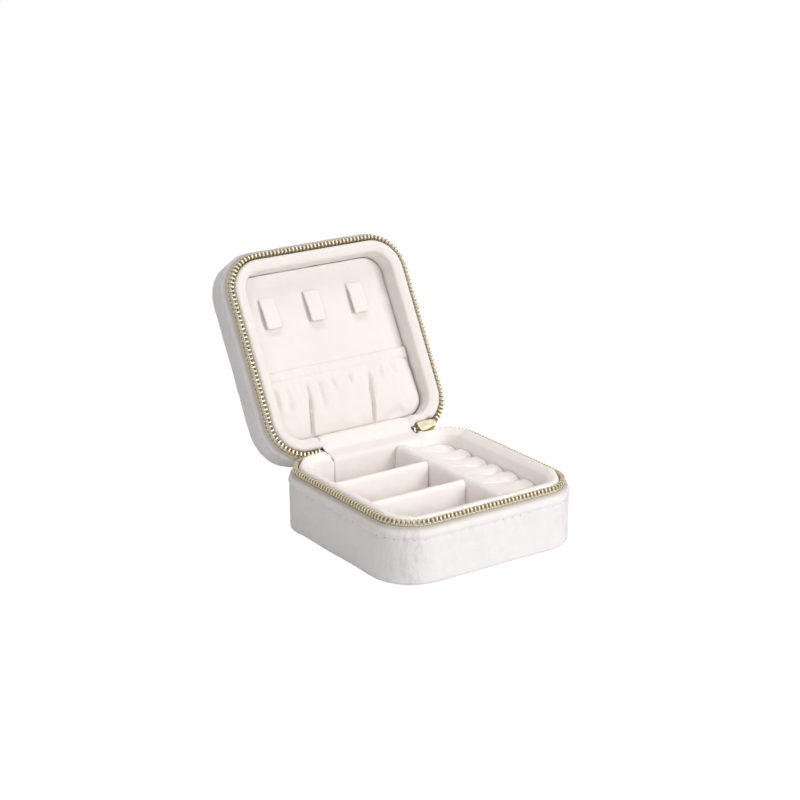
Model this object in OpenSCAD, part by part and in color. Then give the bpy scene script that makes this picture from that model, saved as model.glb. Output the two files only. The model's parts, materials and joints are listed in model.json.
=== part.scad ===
// Square velvet jewellery case with a zip: a base with three trays and a ring bay,
// and a lid with necklace straps and a gathered pocket, standing open on its hinge cloth.
// Millimetres, +Z up, origin at the centre of the underside, hinge at +Y.

/* [Case] */
// Width of the closed case, side to side
case_w = 100; // [90:1:130]
// Depth of the closed case, front to hinge
case_d = 100; // [90:1:130]
// Height of the base, underside to closing plane
base_h = 28.6; // [25:0.2:40]
// Height of the lid, closing plane to top
lid_h = 17; // [16:0.2:30]
// Outer radius of the four upright corners
corner_r = 19.6; // [16:0.2:24]
// Radius of the soft bottom and top edges
edge_r = 2.5; // [2.2:0.1:3]
// Angle to which the lid stands open
lid_angle = 118.8; // [100:0.2:119]
// Setback of the hinge line from the back face
hinge_setback = 2.2; // [2:0.1:2.4]

/* [Walls] */
// Width of the padded rim, outer face to inner wall
rim_w = 10; // [9:0.5:12]
// Thickness of the padded outer velvet
velvet_t = 2.1; // [1.6:0.1:2.2]
// Thickness of the upright side boards
side_board_t = 1.2; // [0.8:0.1:1.4]
// Thickness of the flat boards in bottom and lid
flat_board_t = 1.6; // [1:0.1:2.4]
// Thickness of the covers on the underside and the top
cover_t = 1.3; // [1:0.1:1.8]
// How far those covers stand proud of the turned velvet
cover_proud = 0.5; // [0.3:0.1:0.8]
// Thickness of the lining cloth
lining_t = 0.6; // [0.4:0.1:0.8]
// Radius of the rim's inner edge
rim_round = 3; // [2:0.2:3.6]
// Closing plane to the top of the rolled velvet seam
seam_drop = 3.95; // [3.4:0.05:5]
// Closing plane to the top of the lined rim
rim_drop = 0.6; // [0.6:0.05:1]

/* [Zip] */
// Pitch of the teeth on one tape
tooth_pitch = 2; // [1.9:0.05:2.4]
// Thickness of one tooth along the tape
tooth_t = 0.8; // [0.6:0.05:0.85]
// Width of the chain, outer to inner flank of a tooth
chain_w = 2.7; // [2.4:0.1:2.8]
// Setback of the chain from the outer face
chain_inset = 1.4; // [1.2:0.05:1.6]
// How far a tooth's head reaches past the closing plane
tooth_reach = 0.6; // [0.3:0.05:0.7]
// Length of a tooth's legs below the closing plane
tooth_leg = 2; // [1.7:0.1:2.4]
// Thickness of the woven tape
tape_t = 0.6; // [0.4:0.05:0.6]
// Width of one tape, below the tooth body
tape_w = 10; // [8:0.5:12]
// Length of the slider
slider_l = 9; // [8:0.2:10]
// Width of the slider's plates
slider_w = 5.2; // [4.8:0.1:5.4]
// Length of the pull tab beyond its eye
pull_l = 17; // [12:0.5:22]
// Width of the pull tab
pull_w = 5; // [4:0.1:6]
// Thickness of the pull tab
pull_t = 0.6; // [0.4:0.05:0.6]

/* [Hinge cloth] */
// Left side of the case to the left end of the hinge cloth
cloth_left_in = 26.5; // [26:0.5:30]
// Right side of the case to the right end of the hinge cloth
cloth_right_in = 25; // [25:0.5:28]
// Thickness of the hinge cloth
cloth_t = 0.45; // [0.3:0.05:0.5]
// How far the inner hinge cloth runs down the base's back wall
cloth_down = 13; // [8:0.5:15]

/* [Trays and ring bay] */
// Clear width of the ring bay
ring_bay_w = 26.2; // [22:0.2:32]
// Clear length of the rear tray
rear_tray_l = 23.6; // [18:0.2:28]
// Clear length of the front tray
front_tray_l = 23.4; // [18:0.2:28]
// Thickness of the padded dividers at their foot
divider_t = 4.6; // [3.6:0.1:5.4]
// Thickness of the padded dividers at their round top
divider_top_t = 3.6; // [3:0.1:3.6]
// Thickness of the card inside a divider
divider_card_t = 1.6; // [1:0.1:2]
// Closing plane to the top of the dividers
divider_drop = 1.2; // [1:0.1:6]
// Thickness of the padded floor
floor_t = 2; // [1.4:0.1:3]
// Number of ring rolls
roll_count = 7; // [6:1:8]
// Closing plane to the crest of a ring roll
roll_drop = 5.8; // [5:0.1:9]
// Depth of the valley between two ring rolls
roll_valley = 2.2; // [1.4:0.1:3]
// Length trimmed off the rear roll, where the block of rolls is cut to the bay
roll_trim = 4.4; // [0:0.1:6]

/* [Lid inside] */
// Closing plane to the face of the padded lid panel
panel_drop = 9.5; // [8.6:0.1:10]
// Thickness of the card behind the lid panel
panel_card_t = 1.4; // [1:0.1:1.6]
// Length of a necklace strap
strap_l = 15; // [12:0.5:18]
// Width of a necklace strap
strap_w = 8; // [6:0.2:10]
// Thickness of a necklace strap
strap_t = 1.2; // [0.8:0.1:1.4]
// Spacing of the necklace straps
strap_pitch = 24; // [18:0.5:25]
// Centre of the middle strap, from the case's centre
strap_centre = -2.5; // [-6:0.5:6]
// Lid's front inner wall to the sewn ends of the straps
strap_setback = 11.5; // [9:0.5:14]
// Angle at which a strap stands off the panel
strap_lift = 9; // [8:0.5:14]
// Length of the gathered pocket, hem to bottom seam
pocket_l = 33; // [26:0.5:36]
// Width of the elastic hem of the pocket
hem_w = 7.5; // [6:0.1:9]
// How far the pocket's cloth bulges off the panel
pocket_bulge = 4; // [3:0.1:4.4]

/* [Hidden] */

// Colours of the materials
velvet = [0.95, 0.93, 0.91];
lining_velvet = [0.96, 0.93, 0.90];
tape_cloth = [0.86, 0.82, 0.74];
gold = [0.80, 0.70, 0.42];
card = [0.62, 0.60, 0.57];
foam = [0.93, 0.92, 0.86];

$fn = 72;
// Gap between neighbouring pieces that are glued or sewn together
seat = 0.15;
// Gap between soft pieces that only lie beside each other
slack = 0.3;
// Overlap that makes a cut run clear through
cut = 1;

// Gap between the hinge cloth and the lining under it
leaf_gap = 0.05;

// Half sizes of the case and places of the corner centres
half_w = case_w / 2;
half_d = case_d / 2;
corner_x = half_w - corner_r;
corner_y = half_d - corner_r;

// Layers of a wall, measured inwards from the outer face
chain_mid = chain_inset + chain_w / 2;
tape_in = chain_mid + tape_t / 2;
board_out = tape_in + seat;
board_in = board_out + side_board_t;
lining_out = max(board_in, chain_inset + chain_w) + seat;
foam_out = lining_out + lining_t + seat / 3;
foam_in = rim_w - lining_t - seat / 3;
bay = rim_w + slack;

// Levels, measured from the closing plane towards the outside of either half
tape_start = 1.15;
board_start = seam_drop + velvet_t / 2;
tape_end = tape_start + tape_w;
lining_leg = 7;
rim_outer_r = 1.2;
flange_in = edge_r + 2.5;
flange_t = cover_t - cover_proud;

// Hinge line, and the ends of the hinge cloth on either side of the centre
hinge_y = half_d - hinge_setback;
cloth_left = half_w - cloth_left_in;
cloth_right = half_w - cloth_right_in;

// Chain path, measured leftwards round the case from the middle of the back
chain_r = corner_r - chain_mid;
arc_l = PI / 2 * chain_r;
run_w = case_w - 2 * corner_r;
run_d = case_d - 2 * corner_r;
path_1 = run_w / 2;
path_2 = path_1 + arc_l;
path_3 = path_2 + run_d;
path_4 = path_3 + arc_l;
path_5 = path_4 + run_w;
path_6 = path_5 + arc_l;
path_7 = path_6 + run_d;
path_8 = path_7 + arc_l;
path_l = path_8 + run_w / 2;

// Zip stops, slider and teeth along the path
stop_gap = 1.2;
left_stop = cloth_left + stop_gap + tooth_t / 2;
right_stop = path_l - cloth_right - stop_gap - tooth_t / 2;
slider_tail = right_stop - tooth_pitch / 2 - tooth_t / 2 - slack;
slider_mid = slider_tail - slider_l / 2;
teeth_start = left_stop + tooth_pitch;
teeth_end = slider_tail - slider_l - slack - tooth_pitch / 2 - tooth_t / 2;
tooth_count = floor((teeth_end - teeth_start) / tooth_pitch);

// Zip slider, measured from the middle of the chain
plate_gap = chain_w / 2 + 0.2;
plate_t = 0.8;
bail_reach = plate_gap + plate_t + 0.9;
bar_r = 0.35;
bail_in = pull_t / 2 + 0.25;
bail_out = bail_in + 0.45;
eye_r = 0.75;
bore_r = bar_r + 0.1;

// Base trays
back_clear = half_d - rim_w - leaf_gap - cloth_t - slack;
front_clear = half_d - bay;
side_clear = half_w - bay;
floor_top = cover_t + flat_board_t + floor_t;
divider_top = base_h - divider_drop;
long_x = half_w - rim_w - ring_bay_w - divider_t / 2;
rear_y = half_d - rim_w - rear_tray_l - divider_t / 2;
front_y = -half_d + rim_w + front_tray_l + divider_t / 2;
long_l = back_clear + front_clear;
cross_l = long_x - divider_t / 2 - slack + side_clear;
card_top = divider_top - 2.4;
roll_top = base_h - roll_drop;
roll_x0 = long_x + divider_t / 2 + slack;
roll_gap = 0.3;
roll_pitch = (back_clear + front_clear + roll_gap + roll_trim) / roll_count;
roll_w = roll_pitch - roll_gap;
roll_crest_r = (roll_w * roll_w / 4 + roll_valley * roll_valley) / (2 * roll_valley);

// Lid fittings
lid_board = lid_h - cover_t - flat_board_t;
panel_card_z = lid_board - seat - panel_card_t;
pocket_end = back_clear;
pocket_start = pocket_end - pocket_l;
pocket_half_w = half_w - bay - 0.4;
pocket_cloth_t = 0.8;
hem_t = 1.5;
hem_wall = 0.4;
strap_y = -half_d + rim_w + strap_setback;
strap_z = panel_drop - seat - strap_t / 2;
snap_in = 3.6;
snap_at = strap_l - snap_in;
socket_r = 2.4;
socket_h = 0.8;
stud_r = 2.3;
stud_h = 0.9;
post_r = 1;
strap_xs = [strap_centre - strap_pitch, strap_centre, strap_centre + strap_pitch];

// ---- Shared shapes -------------------------------------------------------------

// Plan of the case, moved inwards by an inset: a square with true round corners
module plan(inset) {
    r = corner_r - inset;
    square([case_w - 2 * inset, 2 * corner_y], center = true);
    square([2 * corner_x, case_d - 2 * inset], center = true);
    for (x = [-corner_x, corner_x])
        for (y = [-corner_y, corner_y])
            translate([x, y])
                circle(r);
}

module slab(inset, low, high) {
    translate([0, 0, low])
        linear_extrude(high - low)
            plan(inset);
}

// Carries a wall section round the case: four straight runs and four quarter turns.
// The section has x = minus the distance from the outer face, y = level.
module ring() {
    for (k = [0:3]) {
        out = k % 2 == 0 ? half_w : half_d;
        along = k % 2 == 0 ? 2 * corner_y : 2 * corner_x;
        rotate([0, 0, 90 * k])
            translate([out, 0, 0])
                rotate([90, 0, 0])
                    linear_extrude(along, center = true)
                        children();
        translate([k == 0 || k == 3 ? corner_x : -corner_x, k < 2 ? corner_y : -corner_y, 0])
            rotate([0, 0, 90 * k])
                rotate_extrude(angle = 90)
                    translate([corner_r, 0])
                        children();
    }
}

// Rectangle from u0 to u1 inwards and from level z0 to z1
module block(u0, u1, z0, z1) {
    translate([-u1, z0])
        square([u1 - u0, z1 - z0]);
}

// Rounded corner of a wall section: side 1 faces outwards, side -1 faces inwards
module corner(u, z, r, side) {
    intersection() {
        translate([-u, z])
            circle(r);
        translate([side > 0 ? -u : -u - r, z - r])
            square(r);
    }
}

// Wall section whose two edges towards the closing plane are rounded
module rounded_section(u0, u1, z0, z1, r_out, r_in) {
    block(u0 + r_out, u1 - r_in, z0, z1);
    block(u0, u0 + r_out, z0 + r_out, z1);
    block(u1 - r_in, u1, z0 + r_in, z1);
    corner(u0 + r_out, z0 + r_out, r_out, 1);
    corner(u1 - r_in, z0 + r_in, r_in, -1);
}

// Turns a piece drawn outwards from the closing plane into the base's half
module base_half() {
    translate([0, 0, base_h])
        mirror([0, 0, 1])
            children();
}

// Turns it into the lid's half, swung open about the hinge line
module lid_half() {
    translate([0, hinge_y, base_h])
        rotate([-lid_angle, 0, 0])
            translate([0, -hinge_y, 0])
                children();
}

// ---- Walls, alike in base and lid ----------------------------------------------

// Padded velvet round the side: rolled seam at one edge, turned under at the other
module band(depth) {
    bottom = depth - cover_proud;
    roll_r = velvet_t / 2;
    ring() {
        translate([-roll_r, seam_drop + roll_r])
            circle(roll_r);
        block(0, velvet_t, seam_drop + roll_r, bottom - edge_r);
        intersection() {
            translate([-edge_r, bottom - edge_r])
                circle(edge_r);
            block(0, edge_r, bottom - edge_r, bottom);
        }
        block(edge_r, flange_in, bottom - flange_t, bottom);
    }
}

// Padded velvet card that closes the underside or the top
module cover(depth) {
    slab(flange_in + slack, depth - cover_t, depth);
}

module flat_board(depth) {
    slab(board_out, depth - cover_t - flat_board_t, depth - cover_t);
}

module side_board(depth) {
    ring()
        block(board_out, board_in, board_start, depth - cover_t - flat_board_t);
}

module wall_foam(depth) {
    top = rim_drop + lining_t + seat / 3;
    difference() {
        ring()
            rounded_section(foam_out, foam_in, top, depth - cover_t - flat_board_t,
                rim_outer_r - lining_t, rim_round - lining_t);
        slider_room(rim_drop - cut, slider_w / 2 + slack);
    }
}

// Lining cloth over the foam: a short leg sewn to the tape, a long leg down the wall
module lining(depth) {
    low = depth - cover_t - flat_board_t;
    difference() {
        ring()
            difference() {
                rounded_section(lining_out, rim_w, rim_drop, low, rim_outer_r, rim_round);
                rounded_section(lining_out + lining_t, rim_w - lining_t, rim_drop + lining_t,
                    low + cut, rim_outer_r - lining_t, rim_round - lining_t);
                block(lining_out - cut, lining_out + lining_t + cut / 10, lining_leg, low + cut);
            }
        slider_room(rim_drop - cut, slider_w / 2 + slack);
    }
}

// ---- Zip -------------------------------------------------------------------------

// Place and outward direction of the chain at a distance along its path
function on_arc(x, y, a) = [x + chain_r * cos(a), y + chain_r * sin(a), a];
function turn(s, from) = 90 * (s - from) / arc_l;
function chain_place(s) =
    s < path_1 ? [-s, half_d - chain_mid, 90] :
    s < path_2 ? on_arc(-corner_x, corner_y, 90 + turn(s, path_1)) :
    s < path_3 ? [-half_w + chain_mid, corner_y - (s - path_2), 180] :
    s < path_4 ? on_arc(-corner_x, -corner_y, 180 + turn(s, path_3)) :
    s < path_5 ? [-corner_x + (s - path_4), -half_d + chain_mid, 270] :
    s < path_6 ? on_arc(corner_x, -corner_y, 270 + turn(s, path_5)) :
    s < path_7 ? [half_w - chain_mid, -corner_y + (s - path_6), 360] :
    s < path_8 ? on_arc(corner_x, corner_y, turn(s, path_7)) :
    [corner_x - (s - path_8), half_d - chain_mid, 90];

module at_chain(s) {
    p = chain_place(s);
    translate([p[0], p[1], 0])
        rotate([0, 0, p[2]])
            children();
}

// One metal tooth: two legs pinched round the tape, a body and a narrower head
module tooth() {
    half = chain_w / 2;
    slot = tape_t / 2 + 0.1;
    neck = half * 0.63;
    rotate([90, 0, 0])
        linear_extrude(tooth_t, center = true)
            polygon([
                [half, tooth_leg - 0.2], [half, 0.15], [neck, -tooth_reach / 2],
                [neck, -tooth_reach], [-neck, -tooth_reach], [-neck, -tooth_reach / 2],
                [-half, 0.15], [-half, tooth_leg - 0.2], [-half + 0.2, tooth_leg],
                [-slot, tooth_leg], [-slot, tape_start - 0.1], [slot, tape_start - 0.1],
                [slot, tooth_leg], [half - 0.2, tooth_leg]
            ]);
}

// A row of teeth; the lid's row is shifted by half a pitch so that the two mesh
module teeth(shift) {
    for (i = [0:tooth_count - 1])
        at_chain(teeth_start + i * tooth_pitch + shift)
            tooth();
}

// Square metal stop clamped over the tape at each end of the chain
module stop() {
    half = chain_w / 2;
    slot = tape_t / 2 + 0.1;
    rotate([90, 0, 0])
        linear_extrude(tooth_t, center = true)
            difference() {
                translate([-half, -0.1])
                    square([chain_w, tooth_leg + 0.9]);
                translate([-slot, tape_start - 0.1])
                    square([2 * slot, tooth_leg + 0.9]);
            }
}

module stops(shift) {
    at_chain(left_stop + shift)
        stop();
    at_chain(right_stop - tooth_pitch / 2 + shift)
        stop();
}

// Space left free for the slider in a wall, deeper than the slider by a margin
module slider_room(low, high) {
    at_chain(slider_mid)
        translate([-plate_gap - plate_t - 1.5, -slider_l / 2 - slack, low])
            cube([2 * plate_gap + 2 * plate_t + 2, slider_l + 2 * slack, high - low]);
}

module hinge_run(u0, u1, z0, z1) {
    translate([0, half_d, 0])
        rotate([90, 0, 90])
            translate([0, 0, -cloth_left])
                linear_extrude(cloth_left + cloth_right)
                    block(u0, u1, z0, z1);
}

module tape() {
    difference() {
        ring()
            block(tape_in - tape_t, tape_in, tape_start, tape_end);
        hinge_run(0, rim_w, tape_start - cut, tape_end + cut);
        slider_room(tape_start - cut, seam_drop + velvet_t / 2);
    }
}

// Outer hinge cloth where the zip leaves off, sewn in behind the rolled seam
module spine_leaf() {
    hinge_run(tape_in - tape_t, tape_in, 1.9, tape_end);
}

// Inner hinge cloth: lies on the rim, turns over its edge and runs down the back wall
module hinge_leaf(down) {
    top = rim_drop - leaf_gap - cloth_t;
    wall = rim_w + leaf_gap;
    turn_r = rim_round + cloth_t;
    translate([0, half_d, 0])
        rotate([90, 0, 90])
            translate([0, 0, -cloth_left])
                linear_extrude(cloth_left + cloth_right) {
                    block(lining_out + slack, wall - rim_round, top, top + cloth_t);
                    difference() {
                        corner(wall - rim_round, top + turn_r, turn_r, -1);
                        corner(wall - rim_round, top + turn_r, rim_round, -1);
                    }
                    block(wall, wall + cloth_t, top + turn_r, down);
                }
}

// Outline of a slider plate: wide mouth, round tail
module slider_outline() {
    mouth = slider_w / 2;
    tail = mouth * 0.8;
    end = slider_l / 2;
    r = 0.8;
    translate([end - tail, 0])
        circle(tail);
    translate([0, -tail])
        square([end - tail, 2 * tail]);
    polygon([[-1, mouth], [1, tail], [1, -tail], [-1, -mouth]]);
    translate([-end + r, -mouth])
        square([end - r - 1, 2 * mouth]);
    translate([-end, -mouth + r])
        square([r, 2 * mouth - 2 * r]);
    for (z = [-mouth + r, mouth - r])
        translate([-end + r, z])
            circle(r);
}

// The outline with only a rail along each long edge left standing
module slider_rails() {
    difference() {
        slider_outline();
        square([slider_l + cut, slider_w * 0.8 - 1.1], center = true);
    }
}

// Lays a flat shape drawn along the chain and across it at a distance out from the chain
module on_flank(x0, x1) {
    translate([x0, 0, 0])
        rotate([90, 0, 90])
            linear_extrude(x1 - x0)
                children();
}

module slider_body() {
    rail = 0.5;
    for (side = [0, 1])
        mirror([side, 0, 0]) {
            on_flank(plate_gap, plate_gap + plate_t)
                slider_outline();
            on_flank(plate_gap - rail, plate_gap)
                slider_rails();
        }
    on_flank(-plate_gap, plate_gap)
        polygon([[-slider_l / 2 + 0.2, 0], [-slider_l / 2 + 1.2, 0.9],
            [-slider_l / 2 + 2.8, 0], [-slider_l / 2 + 1.2, -0.9]]);
    for (z = [-bail_out, bail_in])
        translate([0, 0, z]) {
            translate([plate_gap + plate_t / 2, -0.6, 0])
                cube([bail_reach - plate_gap - plate_t / 2, 1.2, bail_out - bail_in]);
            translate([bail_reach, 0, 0])
                cylinder(r = 0.6, h = bail_out - bail_in, $fn = 32);
        }
    translate([bail_reach, 0, -bail_out])
        cylinder(r = bar_r, h = 2 * bail_out, $fn = 32);
}

// The slider tilts by half the lid's angle, because both tapes hold it
module slider_place() {
    p = chain_place(slider_mid);
    translate([0, hinge_y, base_h])
        rotate([-lid_angle / 2, 0, 0])
            translate([p[0], p[1] - hinge_y, 0])
                rotate([0, 0, p[2]])
                    mirror([0, 1, 0])
                        children();
}

// Window in the pull tab: straight sides and a round end
module pull_window(start, end, half) {
    translate([start, -half, -cut])
        cube([end - start, 2 * half, pull_t + 2 * cut]);
    translate([end, 0, -cut])
        cylinder(r = half, h = pull_t + 2 * cut);
}

// Thin stamped tab: an eye, a narrow neck that widens into a tab, and a long window
module pull_tab() {
    neck = 0.65;
    shoulder = 5;
    full = 7.5;
    half = pull_w / 2;
    end = pull_l - half;
    rim = 1.3;
    difference() {
        union() {
            cylinder(r = eye_r, h = pull_t);
            translate([end, 0, 0])
                cylinder(r = half, h = pull_t);
            linear_extrude(pull_t)
                polygon([[bore_r, neck], [shoulder, neck], [full, half], [end, half],
                    [end, -half], [full, -half], [shoulder, -neck], [bore_r, -neck]]);
        }
        translate([0, 0, -cut])
            cylinder(r = bore_r, h = pull_t + 2 * cut);
        pull_window(full + rim, end, half - rim);
    }
}

// ---- Base ------------------------------------------------------------------------

module base_band() {
    color(velvet)
        base_half()
            band(base_h);
}

module base_bottom_cover() {
    color(velvet)
        base_half()
            cover(base_h);
}

module base_bottom_board() {
    color(card)
        base_half()
            flat_board(base_h);
}

module base_side_board() {
    color(card)
        base_half()
            side_board(base_h);
}

module base_wall_foam() {
    color(foam)
        base_half()
            wall_foam(base_h);
}

module base_lining() {
    color(lining_velvet)
        base_half()
            lining(base_h);
}

module base_floor_pad() {
    color(lining_velvet)
        slab(bay, floor_top - floor_t, floor_top);
}

module base_zip_tape() {
    color(tape_cloth)
        base_half()
            tape();
}

module base_zip_teeth() {
    color(gold)
        base_half()
            teeth(0);
}

module base_zip_stops() {
    color(gold)
        base_half()
            stops(0);
}

module base_hinge_cloth() {
    color(lining_velvet)
        base_half()
            hinge_leaf(cloth_down);
}

module base_spine_cloth() {
    color(velvet)
        base_half()
            spine_leaf();
}

// Upright section of a divider: foam dressed thinner upwards, with a round top
module divider_section() {
    foot = divider_t / 2;
    crown = divider_top_t / 2;
    shoulder = divider_top - crown;
    polygon([[-foot, floor_top], [foot, floor_top], [crown, shoulder], [-crown, shoulder]]);
    translate([0, shoulder])
        circle(crown);
}

// Padded wall with the slot for its card open at the foot
module divider_wall(length) {
    rotate([90, 0, 0])
        linear_extrude(length)
            difference() {
                divider_section();
                translate([-divider_card_t / 2 - seat, floor_top - cut])
                    square([divider_card_t + 2 * seat, card_top - floor_top + cut + seat]);
            }
}

module divider_card(length) {
    translate([-divider_card_t / 2, -length, floor_top])
        cube([divider_card_t, length, card_top - floor_top]);
}

module long_place() {
    translate([long_x, back_clear, 0])
        children();
}

module cross_place(y) {
    translate([-side_clear, y, 0])
        rotate([0, 0, 90])
            children();
}

module long_divider() {
    color(lining_velvet)
        long_place()
            divider_wall(long_l);
}

module rear_divider() {
    color(lining_velvet)
        cross_place(rear_y)
            divider_wall(cross_l);
}

module front_divider() {
    color(lining_velvet)
        cross_place(front_y)
            divider_wall(cross_l);
}

module divider_cards() {
    color(card) {
        long_place()
            divider_card(long_l);
        cross_place(rear_y)
            divider_card(cross_l);
        cross_place(front_y)
            divider_card(cross_l);
    }
}

// Foam bar under velvet with a domed crest; the end bars are cut to the bay and its corners
module ring_roll(i) {
    y = back_clear + roll_trim - roll_w / 2 - i * roll_pitch;
    color(lining_velvet)
        intersection() {
            translate([roll_x0, y, 0])
                rotate([90, 0, 90])
                    linear_extrude(side_clear - roll_x0)
                        union() {
                            translate([-roll_w / 2, floor_top])
                                square([roll_w, roll_top - roll_valley - floor_top]);
                            intersection() {
                                translate([0, roll_top - roll_crest_r])
                                    circle(roll_crest_r);
                                translate([-roll_w / 2, roll_top - roll_valley - cut])
                                    square([roll_w, roll_valley + 2 * cut]);
                            }
                        }
            slab(bay, floor_top - cut, roll_top + cut);
            translate([0, -half_d, 0])
                cube([half_w, half_d + back_clear, base_h]);
        }
}

// ---- Slider and pull --------------------------------------------------------------

module zip_slider() {
    color(gold)
        slider_place()
            slider_body();
}

module zip_pull() {
    color(gold)
        slider_place()
            translate([bail_reach, 0, -pull_t / 2])
                pull_tab();
}

// ---- Lid -------------------------------------------------------------------------

module lid_band() {
    color(velvet)
        lid_half()
            band(lid_h);
}

module lid_top_cover() {
    color(velvet)
        lid_half()
            cover(lid_h);
}

module lid_top_board() {
    color(card)
        lid_half()
            flat_board(lid_h);
}

module lid_side_board() {
    color(card)
        lid_half()
            side_board(lid_h);
}

module lid_wall_foam() {
    color(foam)
        lid_half()
            wall_foam(lid_h);
}

module lid_lining() {
    color(lining_velvet)
        lid_half()
            lining(lid_h);
}

module lid_panel_pad() {
    color(lining_velvet)
        lid_half()
            slab(bay, panel_drop, panel_card_z);
}

module lid_panel_card() {
    color(card)
        lid_half()
            slab(bay, panel_card_z, panel_card_z + panel_card_t);
}

module lid_zip_tape() {
    color(tape_cloth)
        lid_half()
            tape();
}

module lid_zip_teeth() {
    color(gold)
        lid_half()
            teeth(tooth_pitch / 2);
}

module lid_zip_stops() {
    color(gold)
        lid_half()
            stops(tooth_pitch / 2);
}

module lid_hinge_cloth() {
    color(lining_velvet)
        lid_half()
            hinge_leaf(panel_drop - slack);
}

module lid_spine_cloth() {
    color(velvet)
        lid_half()
            spine_leaf();
}

// Lens between the panel and a circular bulge, over the length of the pocket's cloth
module pocket_lens(grow) {
    chord = pocket_l - hem_w - slack;
    rise = pocket_bulge - hem_t + grow;
    r = (chord * chord / 4 + rise * rise) / (2 * rise);
    translate([0, -hem_t])
        intersection() {
            translate([chord / 2, -rise + r])
                circle(r);
            translate([-chord, -rise - cut])
                square([3 * chord, rise + cut]);
        }
    translate([0, -hem_t - 0.01])
        square([chord, hem_t - 0.1]);
}

// The lens across the lid, kept a distance inside the lid's inner wall
module pocket_form(inset, shift) {
    intersection() {
        translate([-half_w, pocket_start + hem_w + slack - shift, panel_drop - seat + shift])
            rotate([90, 0, 90])
                linear_extrude(case_w)
                    pocket_lens(0);
        slab(bay + 0.4 + inset, 0, lid_h);
    }
}

// Gathered cloth: a bulging sheet, closed at both sides and along the bottom seam
module pocket_cloth() {
    color(lining_velvet)
        lid_half()
            difference() {
                pocket_form(0, 0);
                pocket_form(pocket_cloth_t, pocket_cloth_t);
            }
}

module hem_place(inset) {
    lid_half()
        translate([-pocket_half_w, pocket_start + inset, panel_drop - seat - hem_t + inset])
            rotate([90, 0, 90])
                children();
}

module pocket_hem() {
    color(lining_velvet)
        hem_place(0)
            linear_extrude(2 * pocket_half_w)
                difference() {
                    square([hem_w, hem_t]);
                    translate([hem_wall, hem_wall])
                        square([hem_w - 2 * hem_wall, hem_t - 2 * hem_wall]);
                }
}

module pocket_elastic() {
    color([0.92, 0.92, 0.90])
        hem_place(hem_wall + 0.1)
            linear_extrude(2 * pocket_half_w)
                square([hem_w - 2 * hem_wall - 0.2, hem_t - 2 * hem_wall - 0.2]);
}

// Brings a strap, drawn along +Y from its sewn end, to its place on the panel
module strap_place(i) {
    lid_half()
        translate([strap_xs[i], strap_y, strap_z])
            rotate([-strap_lift, 0, 0])
                children();
}

module strap(i) {
    color(lining_velvet)
        strap_place(i) {
            translate([-strap_w / 2, 0, -strap_t / 2])
                cube([strap_w, strap_l - 1.5, strap_t]);
            translate([-strap_w / 2 + 1.5, strap_l - 1.5, -strap_t / 2])
                cube([strap_w - 3, 1.5, strap_t]);
            for (x = [-strap_w / 2 + 1.5, strap_w / 2 - 1.5])
                translate([x, strap_l - 1.5, -strap_t / 2])
                    cylinder(r = 1.5, h = strap_t, $fn = 32);
        }
}

// Upper half of a press stud, fixed under the strap's free end
module socket(i) {
    color(gold)
        strap_place(i)
            translate([0, snap_at, strap_t / 2])
                difference() {
                    cylinder(r = socket_r, h = socket_h);
                    translate([0, 0, socket_h - 0.5])
                        cylinder(r = post_r + 0.5, h = cut);
                }
}

// Lower halves of the press studs, set in the panel
module snap_studs() {
    color(gold)
        for (x = strap_xs)
            lid_half()
                translate([x, strap_y + snap_at * cos(strap_lift), panel_drop])
                    mirror([0, 0, 1]) {
                        cylinder(r = stud_r, h = stud_h / 3);
                        cylinder(r = post_r, h = stud_h);
                    }
}

base_band();
base_bottom_cover();
base_bottom_board();
base_side_board();
base_wall_foam();
base_lining();
base_floor_pad();
base_zip_tape();
base_zip_teeth();
base_zip_stops();
base_hinge_cloth();
base_spine_cloth();
long_divider();
rear_divider();
front_divider();
divider_cards();
ring_roll(0);  // ring_roll_1
ring_roll(1);  // ring_roll_2
ring_roll(2);  // ring_roll_3
ring_roll(3);  // ring_roll_4
ring_roll(4);  // ring_roll_5
ring_roll(5);  // ring_roll_6
ring_roll(6);  // ring_roll_7
zip_slider();
zip_pull();
lid_band();
lid_top_cover();
lid_top_board();
lid_side_board();
lid_wall_foam();
lid_lining();
lid_panel_pad();
lid_panel_card();
lid_zip_tape();
lid_zip_teeth();
lid_zip_stops();
lid_hinge_cloth();
lid_spine_cloth();
pocket_cloth();
pocket_hem();
pocket_elastic();
snap_studs();
strap(0);  // strap_left
strap(1);  // strap_middle
strap(2);  // strap_right
socket(0);  // socket_left
socket(1);  // socket_middle
socket(2);  // socket_right
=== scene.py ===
"""Dresses the square velvet jewellery case over its CAD frame.

Lengths are in metres in the row frame: +Z up, the hinge at +Y, the ring bay at +X. Base and
lid are drawn alike, as points (x, y, depth), where depth grows from the closing plane
outwards, and Case.place turns such points into the row frame.
"""
import json
import logging
import math
from dataclasses import dataclass
from enum import Enum

import bmesh
import bpy
import numpy as np
from mathutils import Matrix, Vector

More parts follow.
